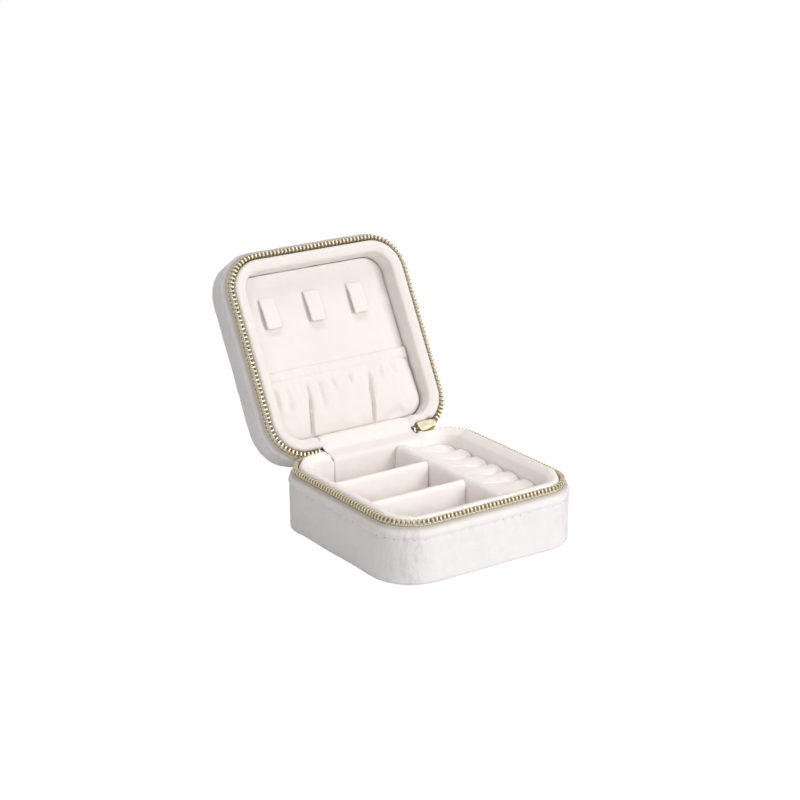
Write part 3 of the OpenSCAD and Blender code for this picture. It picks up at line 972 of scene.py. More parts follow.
@dataclass(frozen=True)
class Finishes:
    """Every finish of the case, made once and shared by its pieces."""

    outer: Finish
    sewn: Finish
    thread: Finish
    lining: Finish
    tray: Finish
    hinge: Finish
    gold: Finish
    tape: Finish
    card: Finish
    foam: Finish
    elastic: Finish

    @classmethod
    def build(cls) -> "Finishes":
        """Makes the materials.

        Returns:
            The finishes.
        """
        white, shaded = rgba(0.82, 0.79, 0.78), rgba(0.72, 0.685, 0.675)
        inside = {"patch_scale": 60, "crush": 0.2}
        looks = {
            "outer": (Velvet("outer_velvet", white, shaded, 85), "outer_velvet"),
            "sewn": (SewnVelvet("sewn_velvet", white, shaded, 85), "outer_velvet"),
            "thread": (Grained("stitch_thread", rgba(0.92, 0.90, 0.88), rgba(0.7, 0.68, 0.65),
                               5000, 0.03 * MM), "outer_velvet"),
            "lining": (Velvet("lining_velvet", rgba(0.835, 0.78, 0.745),
                              rgba(0.775, 0.715, 0.67), **inside), "lining_velvet"),
            # Painted light: this look is a brighter copy of the lining velvet, for light that reaches into
            # the base.
            "tray": (Velvet("tray_velvet", rgba(0.93, 0.88, 0.845),
                            rgba(0.86, 0.805, 0.76), **inside), "lining_velvet"),
            # Painted light: a copy of the lining velvet brightened part of the way, for the inner hinge
            # cloth.
            "hinge": (Velvet("hinge_velvet", rgba(0.885, 0.83, 0.795),
                             rgba(0.82, 0.76, 0.715), **inside), "lining_velvet"),
            "gold": (Metal("pale_gold", rgba(0.60, 0.54, 0.40), rgba(0.42, 0.36, 0.23), 0.42),
                     "gold_metal"),
            "tape": (Woven("zip_tape", rgba(0.82, 0.76, 0.68), rgba(0.70, 0.63, 0.54)),
                     "zip_tape"),
            "card": (Grained("grey_card", rgba(0.42, 0.40, 0.37), rgba(0.28, 0.27, 0.25),
                             900, 0.03 * MM, (1, 1, 3)), "card"),
            "foam": (Grained("open_cell_foam", rgba(0.80, 0.77, 0.66), rgba(0.42, 0.39, 0.30),
                             1800, 0.3 * MM), "foam"),
            "elastic": (Grained("woven_elastic", rgba(0.80, 0.80, 0.78), rgba(0.5, 0.5, 0.48),
                                1200, 0.1 * MM, (8, 1, 1)), "elastic"),
        }
        return cls(**{name: Finish(look.build(), slot) for name, (look, slot) in looks.items()})


def dress(piece: Piece, finish: Finish) -> Piece:
    """Gives a piece its finish, and reports it.

    Args:
        piece: A new piece, or a node of the frame.
        finish: Its one finish.

    Returns:
        The same piece.
    """
    piece.data.materials.clear()
    piece.data.materials.append(finish.material)
    LOG.info("%s: %d faces", piece.name, len(piece.data.polygons))
    return piece


def settle(piece: Piece, finish: Finish, body: str, *nodes: str,
           fill: float | None = None) -> Piece:
    """Dresses a new piece and ties it to the body that it moves with.

    Args:
        piece: The piece.
        finish: Its one finish.
        body: The body that it rides on.
        nodes: The nodes of the frame that it stands for.
        fill: How tight a padded piece is filled, from 0 to 1; not used.

    Returns:
        The same piece.
    """
    dress(piece, finish)
    if nodes:
        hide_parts(*nodes)
    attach(piece, body)
    return piece


# ---- Outer shell ---------------------------------------------------------------------


@dataclass
class OuterShell:
    """Padded velvet round the sides of one half, its flat cover, and its top stitching."""

    case: Case
    finishes: Finishes
    half: Half
    slider: Array
    velvet_t: float = 2.1 * MM
    seam_drop: float = 3.95 * MM
    shoulder: float = 1.75 * MM
    slider_clear: tuple[float, float] = (7 * MM, 10 * MM)
    cover_proud: float = 0.5 * MM
    cover_inset: float = 5.3 * MM
    stitch_pitch: float = 4.5 * MM
    stitch_l: float = 3.2 * MM
    thread_r: float = 0.17 * MM
    groove: float = 0.4 * MM

    def section(self) -> Array:
        """Closed wall section of the velvet: rolled seam, sewn groove, side and turned edge.

        Returns:
            Points (inset from the outer face, depth).
        """
        end = self.case.depth(self.half) - self.cover_proud
        inner = self.velvet_t
        line = self.case.stitch_drop
        top = self.seam_drop
        points = np.array([
            [inner, top + 6.5 * MM], [inner, top + 2.2 * MM], [inner + 0.05 * MM, top + 0.6 * MM],
            [inner - 0.1 * MM, top - 0.1 * MM], [1.45 * MM, top - 0.35 * MM],
            [1.0 * MM, top - 0.1 * MM], [0.45 * MM, top + 0.5 * MM], [0, top + 1.1 * MM],
            [-0.4 * MM, top + 1.6 * MM], [-0.45 * MM, line - 1.7 * MM],
            [-0.1 * MM, line - 0.7 * MM], [self.groove, line - 0.15 * MM],
            [self.groove, line + 0.15 * MM], [0.1 * MM, line + 0.7 * MM], [0, line + 1.5 * MM],
            [0, line + 4 * MM], [0, end - 3 * MM], [0, end - 1.5 * MM], [0.2 * MM, end - 0.2 * MM],
            [1.5 * MM, end], [3 * MM, end], [self.cover_inset - 0.35 * MM, end],
            [self.cover_inset - 0.3 * MM, end - 0.8 * MM], [3 * MM, end - 0.8 * MM],
            [inner, end - 2.2 * MM], [inner, end - 5 * MM]])
        return resample(soften(points, 3), 84)

    def band(self) -> Piece:
        """Padded velvet round the side: the section carried round the case and softened.

        Returns:
            The finished piece.
        """
        outline = self.case.outline()
        along = outline.stations(0.9 * MM)
        section = self.section()
        raised = np.broadcast_to(section, (len(along), *section.shape)).copy()
        raised[..., 1] -= self.rise(outline, along)[:, None] * (
            1 - ease(section[:, 1], self.seam_drop - 0.3 * MM, self.seam_drop + 1.6 * MM))
        grid = outline.sweep(along, raised)
        facing = np.abs(outline.at(along)[1]).min(1)
        bend = ease(facing / math.sqrt(0.5), 0.1, 0.9)
        grid = push_out(grid, (True, True), self.relief(along, section, grid, bend))
        outside = section[:, 0] < 1.6 * MM
        off = np.where(outside, raised[..., 1] - self.case.stitch_drop, 1.0)
        uv = np.stack(np.broadcast_arrays((along / self.stitch_spacing())[:, None], off), axis=-1)
        skin = Skin()
        skin.grid(self.case.place(self.half, grid), (True, True), uv)
        name = self.half.value
        piece = skin.build(f"{name}_velvet_band")
        piece.data.attributes.new("bend", "FLOAT", "POINT").data.foreach_set(
            "value", np.repeat(bend, len(section)))
        return settle(piece, self.finishes.sewn, name, f"{name}_band", fill=0.9)

    def relief(self, along: Array, section: Array, grid: Array, bend: Array) -> Array:
        """How far the velvet stands off its plain section.

        Soft dents, a pucker at every stitch near the sewn row, and gathers on the rolled seam
        that deepen in the corners. All of it fades towards the side that lies on the board.

        Args:
            along: Lengths of the rings along the outline.
            section: The plain section (inset, depth).
            grid: The points (x, y, depth) of the rings.
            bend: For each ring, 1 in the middle of a corner and 0 on a straight side.

        Returns:
            A distance for each point of the grid.
        """
        seed = BAND_SEED[self.half.value]
        free = ease(self.velvet_t - section[:, 0], 0, self.velvet_t * 0.8)
        dents = SoftNoise(16 * MM, seed)(grid) * 0.10 * MM \
            + SoftNoise(5 * MM, seed + 2)(grid) * 0.04 * MM
        row = hump(section[:, 1], self.case.stitch_drop, 1.3 * MM)
        rolled = hump(section[:, 1], self.seam_drop + 1.4 * MM, 1.6 * MM)
        pucker = np.cos(2 * math.pi * along / self.stitch_spacing())
        gathers = np.sin(2 * math.pi * along / (2.3 * MM)
                         + 3 * SoftNoise(9 * MM, seed + 4)(grid[:, 0])) * (0.25 + 0.75 * bend)
        return free * (dents + row * pucker[:, None] * 0.06 * MM
                       + rolled * gathers[:, None] * 0.10 * MM)

    def rise(self, outline: Outline, along: Array) -> Array:
        """How far the velvet's shoulder climbs towards the teeth.

        It stays low beside the hinge cloths and the slider.

        Args:
            outline: The path that the lengths are measured on.
            along: Lengths along it.

        Returns:
            A height for each length.
        """
        centre, normal = outline.at(along)
        near = np.linalg.norm(centre + self.case.corner_r * normal - self.slider, axis=-1)
        return self.shoulder * self.case.clear_of_hinge(outline, along) \
            * ease(near, *self.slider_clear)

    def stitch_spacing(self) -> float:
        """Pitch of the stitches, fitted to go round the case a whole number of times."""
        length = self.case.outline().length()
        return length / round(length / self.stitch_pitch)

    def stitches(self) -> Piece:
        """Top stitching: round threads, one a stitch, that dip into the velvet at both ends.

        Along each thread, with t from -1 to 1, it sinks as t^4 and thins as the root of
        1.02 - 0.6 t^4.

        Returns:
            The finished piece.
        """
        outline = self.case.outline()
        spacing = self.stitch_spacing()
        starts = np.arange(round(outline.length() / spacing)) * spacing
        share = np.linspace(-1, 1, 9)
        along = (starts[:, None] + share[None] * self.stitch_l / 2) % outline.length()
        centre, normal = outline.at(along)
        sink = self.groove - 0.16 * MM + 0.5 * MM * share ** 4
        turn = np.linspace(0, 2 * math.pi, 8, endpoint=False)
        taper = self.thread_r * np.sqrt(1.02 - 0.6 * share ** 4)
        out = self.case.corner_r - sink[None, :, None] + taper[None, :, None] * np.cos(turn)
        down = self.case.stitch_drop + taper[None, :, None] * np.sin(turn)
        flat = centre[:, :, None] + out[..., None] * normal[:, :, None]
        name = self.half.value
        points = self.case.place(self.half, with_depth(flat, down))
        return settle(Skin.of_tubes(f"{name}_top_stitching", points), self.finishes.thread, name)

    def cover(self) -> Piece:
        """Padded velvet over the flat card that closes the half.

        Returns:
            The finished piece.
        """
        name = self.half.value
        node, waves = {Half.BASE: ("base_bottom_cover", 0.0),
                       Half.LID: ("lid_top_cover", 0.05 * MM)}[self.half]
        depth = self.case.depth(self.half)
        piece = pad(self.case, self.half, f"{name}_velvet_cover", self.cover_inset,
                    depth - self.case.cover_t, depth, waves)
        return settle(piece, self.finishes.outer, name, node, fill=0.9)

    def make(self) -> None:
        """Builds the whole shell."""
        self.band()
        self.stitches()
        self.cover()


def pad(case: Case, half: Half, name: str, inset: float, near: float, far: float,
        waves: float, seed: int = 31, edge: float = 0.7 * MM) -> Piece:
    """A thin cushion over the plan, whose edges are rounded by a quarter circle.

    Args:
        case: The case's sizes.
        half: The half that it lies in.
        name: Name of the piece.
        inset: Distance of its edge inside the outer face.
        near: Depth of the face towards the closing plane.
        far: Depth of the other face.
        waves: Height of its soft waves.
        seed: Seed of those waves.
        edge: Radius of its edges.

    Returns:
        The piece, without a finish.
    """
    reach = case.half_w - inset
    turn = np.linspace(0, math.pi / 2, 7)
    rim = 1 - edge * (1 - np.cos(turn[:-1])) / reach
    middle = np.linspace(-rim[-1], rim[-1], 74)[1:-1]
    steps = np.concatenate([-rim, middle, rim[::-1]])
    flat, size = case.outline().plate(inset, steps)
    distance = (1 - size) * reach
    round_off = np.sqrt(np.clip(1 - (1 - np.clip(distance / edge, 0, 1)) ** 2, 0, 1))
    noise = SoftNoise(15 * MM, seed)(flat) * waves * round_off
    skin = Skin()
    for sign in (-1, 1):
        depth = (near + far) / 2 + sign * ((far - near) / 2 - edge * (1 - round_off)) + noise
        skin.grid(case.place(half, with_depth(flat, depth)[::sign]))
    return skin.build(name, weld=True)


# ---- Linings -------------------------------------------------------------------------


@dataclass
class Lining:
    """The soft rim and inner wall of one half.

    The open rim puffs up past the closing plane. The base's rim is fuller on the side that a plan direction
    names.
    """

    case: Case
    finishes: Finishes
    half: Half
    slider_at: float
    foot: float = 4.35 * MM
    cloth_t: float = 0.6 * MM
    rim_drop: float = 0.2 * MM
    puff: float = 0.95 * MM
    more_puff: float = 0.95 * MM
    fuller_side: tuple[float, float] = (0.566, 0.824)
    hinge_drop: float = 2.4 * MM
    leg: float = 7 * MM
    slider_room: float = 5.95 * MM
    sides: int = 90

    def low(self) -> float:
        """Depth of the lining's lower end, which rests on the board."""
        return self.case.depth(self.half) - self.case.cover_t - self.case.board_t - 0.1 * MM

    def section(self) -> Array:
        """Closed wall section of the lining: a leg by the tape, the rim and the inner wall.

        Returns:
            Points (inset from the outer face, depth).
        """
        low = self.low()
        wall, foot, top, t = self.case.rim_w, self.foot, self.rim_drop, self.cloth_t
        points = np.array([
            [foot, self.leg], [foot, top + 2.4 * MM], [foot + 0.1 * MM, top + 0.8 * MM],
            [foot + 0.9 * MM, top], [foot + 2.4 * MM, top - 0.05 * MM],
            [wall - 1.1 * MM, top + 0.05 * MM], [wall - 0.2 * MM, top + 0.5 * MM],
            [wall, top + 1.6 * MM], [wall, top + 5.5 * MM],
            [wall, low], [wall - t, low], [wall - t, top + 5.5 * MM],
            [wall - t, top + 3 * MM], [wall - t - 0.4 * MM, top + 1.4 * MM],
            [wall - t - 1.6 * MM, top + t], [foot + 2.4 * MM, top + t],
            [foot + t + 0.5 * MM, top + t + 0.2 * MM], [foot + t, top + t + 1 * MM],
            [foot + t, self.leg]])
        return resample(soften(points, 3), self.sides)

    def shaped(self, outline: Outline, along: Array) -> Array:
        """The section at every ring: puffed up, sunk at the hinge, narrow beside the slider.

        Args:
            outline: The path that the lengths are measured on.
            along: Lengths along it.

        Returns:
            Points (inset, depth) of shape (lengths, sides, 2).
        """
        wall = self.case.rim_w
        section = np.broadcast_to(self.section(), (len(along), self.sides, 2)).copy()
        inset, depth = section[..., 0], section[..., 1]
        free = self.case.clear_of_hinge(outline, along)
        beside = 1 - ease(np.abs(along - self.slider_at), 4.8 * MM, 6.2 * MM)
        fuller = ease(outline.at(along)[1] @ np.array(self.fuller_side), 0.1, 0.5)
        more = self.more_puff if self.half is Half.BASE else 0.0
        rise = (self.puff + more * fuller) * free * (1 - 0.5 * beside)
        crown = ease(inset, self.foot - 1 * MM, self.foot + 0.5 * MM) * (
            1 - 0.9 * ease(inset, self.foot + 1.2 * MM, wall))
        depth -= rise[:, None] * crown * (1 - ease(depth, 0.5 * MM, 5 * MM))
        depth += self.hinge_drop * (1 - free)[:, None] * ease(inset, 5.5 * MM, wall) * (
            1 - ease(depth, 2 * MM, 7 * MM))
        squeeze = (wall - self.slider_room) / (wall - self.foot)
        pressed = wall - (wall - inset) * squeeze
        shallow = 1 - ease(depth, 2.6 * MM, 4.2 * MM)
        inset += (pressed - inset) * (beside[:, None] * shallow)
        return section

    def make(self) -> Piece:
        """Sweeps the lining round and softens it.

        Returns:
            The finished piece.
        """
        outline = self.case.chain_path()
        along = outline.stations(0.9 * MM)
        section = self.shaped(outline, along)
        grid = outline.sweep(along, section)
        seed = LINING_SEED[self.half.value]
        wave = SoftNoise(11 * MM, seed)(grid) * 0.09 * MM \
            + SoftNoise(5 * MM, seed + 1)(grid) * 0.04 * MM
        free = ease(section[..., 0], self.foot + 0.2 * MM, self.foot + 1.6 * MM)
        grid = push_out(grid, (True, True), wave * free)
        skin = Skin()
        skin.grid(self.case.place(self.half, grid), (True, True))
        name = self.half.value
        # The base's lining takes the brighter copy of the lining velvet, as painted light.
        finish = self.finishes.tray if self.half is Half.BASE else self.finishes.lining
        piece = settle(skin.build(f"{name}_velvet_lining"), finish, name, f"{name}_lining",
                       fill=0.8)
        foot, top = self.case.place(self.half, np.array([[0, 0, self.low()], [0, 0, 0]]))
        highest = self.low() - self.rim_drop + self.puff + self.more_puff + 0.15 * MM
        (self.low() - 0.05 * MM) / highest
        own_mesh(piece)
        return piece


# ---- Trays and ring rolls ------------------------------------------------------------


@dataclass
class Trays:
    """Floor pad, padded dividers and ring rolls of the base, in the lining velvet brightened as painted
    light.
    """

    case: Case
    finishes: Finishes
    divider_t: float = 4.6 * MM
    crown_t: float = 3.6 * MM
    roll_valley: float = 2.2 * MM
    climb: float = 1.8 * MM

    def floor(self) -> Piece:
        """Padded floor under the trays and the rolls.

        Returns:
            The finished piece.
        """
        low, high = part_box("base_floor_pad")
        base_h = self.case.base_h
        piece = pad(self.case, Half.BASE, "base_velvet_floor", self.case.bay,
                    base_h - high[2], base_h - low[2], 0.08 * MM, 41)
        return settle(piece, self.finishes.tray, "base", "base_floor_pad", fill=0.8)

    def soft_bar(self, name: str, node: str, section: Array, run: str,
                 edge: float = 0.35 * MM) -> Piece:
        """A padded bar along X or Y that fills a CAD node's length.

        What reaches past the wall's thickness, as the long divider's lobe does, is drawn back
        where a lifted strap comes down.

        Args:
            name: Name of the piece.
            node: CAD node that it stands for.
            section: Closed outline (across, up), with across measured from the bar's middle.
            run: "x" or "y", the direction of its length.
            edge: Radius of its ends' edges.

        Returns:
            The finished piece.
        """
        low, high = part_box(node)
        axis = "xy".index(run)
        rings = bar_rings(section, high[axis] - low[axis], edge, 0.8 * MM)
        along, across, up = np.moveaxis(rings, -1, 0)
        along = along + low[axis]
        lap = np.clip(across - self.divider_t / 2, 0, None)
        across = across - lap * (1 - self.clear_of_strap(along))
        across = across + (low[1 - axis] + high[1 - axis]) / 2
        grid = np.stack([along, across, up] if run == "x" else [across, along, up], axis=-1)
        wave = SoftNoise(9 * MM, len(name))(grid) * 0.10 * MM
        piece = Skin.of_tubes(name, push_out(grid, (False, True), wave)[None])
        return settle(piece, self.finishes.tray, "base", node, fill=0.8)

    def clear_of_strap(self, y: Array) -> Array:
        """0 in front, where a lifted strap reaches down into the shut case, and 1 behind."""
        return ease(y, -24 * MM, -10 * MM)

    def divider_section(self, low: float, high: float) -> Array:
        """Padded wall, thinner upwards, with a round top.

        Args:
            low: Height of its foot.
            high: Height of its top.

        Returns:
            Closed outline (across, up).
        """
        foot, crown = self.divider_t / 2, self.crown_t / 2
        side = np.array([
            [foot, low], [foot, low + 6 * MM], [crown + 0.25 * MM, high - 6 * MM],
            [crown + 0.1 * MM, high - 2.4 * MM], [crown - 0.2 * MM, high - 0.9 * MM],
            [crown - 1.1 * MM, high + 0.12 * MM]])
        return self.flat_foot(np.vstack([side * [-1, 1], side[::-1]]))

    def flat_foot(self, points: Array) -> Array:
        """Softens an outline but keeps its foot square and closed."""
        return resample(soften(points, 3, closed=False), 56)

    def long_divider_section(self, low: float, high: float) -> Array:
        """Wall whose rounded top leans over the ends of the ring rolls.

        Args:
            low: Height of its foot.
            high: Height of its top.

        Returns:
            Closed outline (across, up).
        """
        half = self.divider_t / 2
        points = np.array([
            [-half, low], [-half, high - 9 * MM], [-half + 0.2 * MM, high - 3 * MM],
            [-half + 0.8 * MM, high - 1.1 * MM], [-half + 2 * MM, high - 0.1 * MM],
            [1.6 * MM, high - 0.2 * MM], [4.2 * MM, high - 1.1 * MM], [6.4 * MM, high - 2.3 * MM],
            [8.2 * MM, high - 3.6 * MM], [7.0 * MM, high - 4.4 * MM],
            [half, high - 5.2 * MM], [half, high - 6.5 * MM], [half, low]])
        return self.flat_foot(points)

    def roll(self, number: int) -> Piece:
        """One ring roll: a domed crest over straight sides, cut to the bay's corner.

        Near the long divider the crest and the valleys run together and climb to its top.

        Args:
            number: Number of the roll, 1 at the front.

        Returns:
            The finished piece.
        """
        node = f"ring_roll_{number}"
        low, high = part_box(node)
        front, back = (corner[1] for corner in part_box("ring_roll_3"))
        half = (back - front) / 2
        middle = high[1] - half if number > 1 else low[1] + half
        brow = high[2] - self.roll_valley
        points = np.array([
            [-half, low[2]], [-half, brow - 2 * MM], [-half + 0.05 * MM, brow + 0.2 * MM],
            [-half * 0.75, high[2] - 0.7 * MM], [-half * 0.3, high[2] + 0.1 * MM],
            [half * 0.3, high[2] + 0.1 * MM], [half * 0.75, high[2] - 0.7 * MM],
            [half - 0.05 * MM, brow + 0.2 * MM], [half, brow - 2 * MM], [half, low[2]]])
        length = high[0] - low[0]
        rings = bar_rings(self.flat_foot(points), length, 0.8 * MM, 0.8 * MM)
        share, across, up = np.moveaxis(rings, -1, 0)
        share = share / length
        dome = ease(up, brow - 1.5 * MM, brow)
        merged = dome * (1 - ease(share, 0.35, 0.85))
        lap = 0.1 * MM * merged
        y = np.clip(across + np.sign(across) * lap + middle, low[1] - lap, high[1] + lap)
        radius = self.case.corner_r - self.case.bay
        beyond = np.clip(np.abs(y) - (self.case.half_d - self.case.corner_r), 0, None)
        x_end = self.case.half_w - self.case.corner_r + np.sqrt(
            np.clip(radius ** 2 - beyond ** 2, 0, None))
        free = self.clear_of_strap(y)
        level = high[2] + self.climb * (1 - ease(share, 0, 0.8)) * free
        grid = np.stack([low[0] + share * (x_end - low[0]), y, up + (level - up) * merged], axis=-1)
        grid[..., 2] += SoftNoise(8 * MM, 60)(grid * [1, 1, 0]) * 0.2 * MM * dome * free
        piece = Skin.of_tubes(f"velvet_roll_{number}", grid[None])
        return settle(piece, self.finishes.tray, "base", node, fill=0.7)

    def make(self) -> None:
        """Builds everything inside the base."""
        self.floor()
        low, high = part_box("long_divider")
        self.soft_bar("long_velvet_divider", "long_divider",
                      self.long_divider_section(low[2], high[2]), "y")
        low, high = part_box("rear_divider")
        for name in ("rear", "front"):
            self.soft_bar(f"{name}_velvet_divider", f"{name}_divider",
                          self.divider_section(low[2], high[2]), "x")
        for number in range(1, 8):
            self.roll(number)


# ---- Lid inside ----------------------------------------------------------------------


@dataclass(frozen=True)
class Fold:
    """A valley in the gathered pocket, along a straight line from its top to its bottom.

    Its depth falls with the distance x from the line as exp(-(|x| / width) ^ power), and four
    times as fast on its steep side: -1 for the left, 1 for the right. Its sizes are in
    millimetres: x across the panel, y towards the hinge.
    """

    top: tuple[float, float]
    bottom: tuple[float, float]
    depth: float
    width: float
    power: float = 2.0
    fade_in: float = 2.0
    fade_out: float = 4.0
    steep: int = 0

    def __call__(self, x: Array, y: Array) -> Array:
        """Depth of the valley at places on the panel.

        Args:
            x: Places across the panel, in metres.
            y: Places towards the hinge, in metres.

        Returns:
            Depths in metres.
        """
        start, end = np.array(self.top) * MM, np.array(self.bottom) * MM
        length = np.linalg.norm(end - start)
        run = (end - start) / length
        along = (x - start[0]) * run[0] + (y - start[1]) * run[1]
        off = ((x - start[0]) * run[1] - (y - start[1]) * run[0]) / (self.width * MM)
        off = np.abs(off) * np.where(off * self.steep > 0, 4, 1)
        begin = ease(along, -self.fade_in * MM, self.fade_in * MM)
        finish = 1 - ease(along, length - self.fade_out * MM, length)
        return self.depth * MM * np.exp(-off ** self.power) * begin * finish


@dataclass
class LidInside:
    """Padded panel, necklace straps and gathered pocket of the lid."""

    case: Case
    finishes: Finishes
    pocket_top: float = 6.2 * MM
    pocket_end: float = 39.3 * MM
    hem_w: float = 7.5 * MM
    hem_t: float = 1.5 * MM
    bulge: float = 3.9 * MM
    side_gap: float = 0.4 * MM
    strap_l: float = 15 * MM
    strap_w: float = 8 * MM
    strap_t: float = 1.2 * MM
    strap_lift: float = 5.0
    strap_setback: float = 11.5 * MM
    cloth_t: float = 0.45 * MM
    pocket_flat: tuple[float, float] = (0.086, 0.032)
    folds: tuple[Fold, ...] = (
        Fold((-18.5, 15.5), (-20.6, 29), 3.6, 0.6, 0.9, 3.0, 3.0, -1),
        Fold((-19.9, 23), (-23.4, 43), 3.8, 0.8, 1.0, 4.0, 0.6, 1),
        Fold((15.8, 13.5), (13.3, 28), 3.6, 0.6, 0.9, 3.0, 3.0, -1),
        Fold((14.3, 21), (11.0, 41), 3.8, 0.8, 1.0, 4.0, 0.6, 1),
        Fold((-35.5, 15), (-37, 26), 1.3, 1.2),
        Fold((-29.5, 15), (-32, 27), 1.2, 1.5),
        Fold((-12, 14), (-14, 28), 1.5, 1.5),
        Fold((-5.5, 12), (-4.5, 21), 1.5, 1.5),
        Fold((5, 13), (4, 20), 1.1, 1.0),
        Fold((22.3, 13), (20.5, 20), 1.1, 1.2),
        Fold((29.5, 13), (28.5, 20), 1.1, 1.8),
        Fold((19, 38), (29, 35), 1.3, 2.2, 2.0, 8.0, 3.0),
    )

    def panel(self) -> Piece:
        """Padded panel that fills the lid's inside.

        Returns:
            The finished piece.
        """
        near = self.case.panel_drop
        piece = pad(self.case, Half.LID, "lid_velvet_panel", self.case.bay, near,
                    near + self.case.panel_t - 0.05 * MM, 0.10 * MM, 51)
        return settle(piece, self.finishes.lining, "lid", "lid_panel_pad", fill=0.8)

    def half_width(self, y: Array) -> Array:
        """Half of the pocket's width, which follows the lid's inner corners.

        Args:
            y: Distances towards the hinge.

        Returns:
            A width for each distance.
        """
        radius = self.case.corner_r - self.case.bay - self.side_gap
        beyond = np.clip(y - (self.case.half_d - self.case.corner_r), 0, radius)
        return self.case.half_w - self.case.corner_r + np.sqrt(radius ** 2 - beyond ** 2)

    def pocket_height(self, x: Array, y: Array, across: Array, down: Array) -> Array:
        """Height of the gathered cloth over the panel.

        The cloth leaves the hem, bulges like a quarter wave that peaks at three fifths of the
        way and turns in at the bottom and the sides. Gathers fade from the hem downwards, a
        faint crease runs slantwise at the bottom, and the folds are taken off.

        Args:
            x: Places across the panel.
            y: Places towards the hinge.
            across: The same from -1 to 1, left seam to right.
            down: The same from 0 to 1, hem to bottom seam.

        Returns:
            A height for each place.
        """
        rise = np.sin(math.pi / 2 * np.clip((down - 0.08) / 0.55, 0, 1)) ** 1.2
        fall = np.sqrt(np.clip(1 - np.clip((down - 0.6) / 0.4, 0, 1) ** 2.6, 0, 1))
        height = 0.9 * MM + 0.55 * MM * ease(down, 0, 0.12) + (self.bulge - 1.45 * MM) * rise
        height = height * (0.12 + 0.88 * fall)
        height = height * (0.25 + 0.75 * np.sqrt(np.clip(1 - np.abs(across) ** 9, 0, 1)))
        gathers = ripples(x, 7, 5, 2.6, 5.5)
        height = height + gathers * 0.08 * MM * np.exp(-down * 4) * ease(down, 0.05, 0.25)
        slant = (x - 3 * MM) * 0.66 + (y - 24.5 * MM) * 0.75
        crease = hump(slant, 0, 1.6 * MM) * ease(down, 0.35, 0.5) * 0.35 * MM
        crease = crease * ease(x, -21 * MM, -17 * MM) * (1 - ease(x, 2 * MM, 7 * MM))
        pull = sum(fold(x, y) for fold in self.folds)
        spread = SoftNoise(12 * MM, 71)(np.stack([x, y], -1)) * 0.22 * MM * rise * fall
        least = 0.35 * MM + 0.85 * MM * (1 - ease(down, 0.14, 0.24))
        return np.clip(height + crease - pull + spread, np.minimum(least, height),
                       self.bulge + 0.2 * MM)

    def pocket(self) -> Piece:
        """Gathered pocket cloth, a thin sheet that ends behind the hem.

        Returns:
            The finished piece.
        """
        start = self.pocket_top + self.hem_w * 0.45
        down, across = np.meshgrid(np.linspace(0, 1, 72), np.linspace(-1, 1, 300))
        y = start + down * (self.pocket_end - start)
        x = across * self.half_width(y)
        height = self.pocket_height(x, y, across, down)
        face = self.case.panel_drop - 0.1 * MM
        outer = np.stack([x, y, face - height], axis=-1)
        inner = np.stack([x, y, face - np.maximum(height - self.cloth_t, 0)], axis=-1)
        cloth = self.case.place(Half.LID, np.concatenate([outer, inner[:, ::-1]], axis=1))
        return settle(Skin.of_tubes("pocket_velvet", cloth[None]), self.finishes.lining, "lid",
                      "pocket_cloth")

    def hem(self) -> Piece:
        """Elastic hem of the pocket, puckered by the gathers.

        Returns:
            The finished piece.
        """
        half, thick = self.hem_w / 2, self.hem_t
        points = np.array([
            [-half, 0], [-half - 0.05 * MM, thick * 0.4], [-half + 0.5 * MM, thick * 0.85],
            [-half + 1.5 * MM, thick], [0, thick + 0.05 * MM], [half * 0.3, thick * 0.8],
            [half, thick * 0.2], [half, 0]])
        section = resample(soften(points, 3), 44)
        width = 2 * (self.case.half_w - self.case.bay - self.side_gap)
        x, across, up = np.moveaxis(bar_rings(section, width, 0.5 * MM, 0.4 * MM), -1, 0)
        x = x - width / 2
        pucker = ripples(x, 17, 6, 3.0, 7.5) / 3
        lower = ease(across, -half, half)
        up = up * (1 + pucker * (0.02 + 0.06 * lower))
        across = across + pucker * 0.10 * MM * (1 - lower)
        depth = self.case.panel_drop - 0.1 * MM - up
        y = across + (self.pocket_top + half)
        cloth = self.case.place(Half.LID, np.stack([x, y, depth], -1))
        return settle(Skin.of_tubes("pocket_velvet_hem", cloth[None]), self.finishes.lining,
                      "lid", "pocket_hem")

    def strap(self, name: str) -> Piece:
        """Necklace strap: a rounded velvet tab, sewn down at its upper end.

        It leaves the panel at a small angle and sags between its ends by half a sine.

        Args:
            name: "left", "middle" or "right".

        Returns:
            The finished piece.
        """
        joint = next(j for j in frame["joints"] if j["name"] == f"strap_{name}_lift")
        lift = math.radians(self.strap_lift)
        sewn_y = -self.case.half_d + self.case.rim_w + self.strap_setback
        half, thick = self.strap_w / 2, self.strap_t / 2
        points = np.array([
            [-half, -thick * 0.5], [-half, thick * 0.5], [-half + 0.5 * MM, thick],
            [half - 0.5 * MM, thick], [half, thick * 0.5], [half, -thick * 0.5],
            [half - 0.5 * MM, -thick], [-half + 0.5 * MM, -thick]])
        rings = bar_rings(resample(soften(points, 3), 48), self.strap_l, 0.5 * MM, 0.5 * MM)
        along, across, up = np.moveaxis(rings, -1, 0)
        tip = np.clip((along - (self.strap_l - 1.6 * MM)) / (1.6 * MM), 0, 1)
        across = across * (1 - 0.12 * tip ** 2)
        up = up - 0.35 * MM * np.sin(math.pi * along / self.strap_l)
        up = up + SoftNoise(6 * MM, 80 + len(name))(np.stack([along, across], -1)) * 0.06 * MM
        y = sewn_y + along * math.cos(lift) + up * math.sin(lift)
        depth = self.case.panel_drop - 0.75 * MM - along * math.sin(lift) + up * math.cos(lift)
        x = across + joint["pos_m"][0]
        tab = self.case.place(Half.LID, np.stack([x, y, depth], -1))
        return settle(Skin.of_tubes(f"{name}_velvet_strap", tab[None]), self.finishes.lining,
                      f"{name}_strap", f"strap_{name}", fill=0.8)

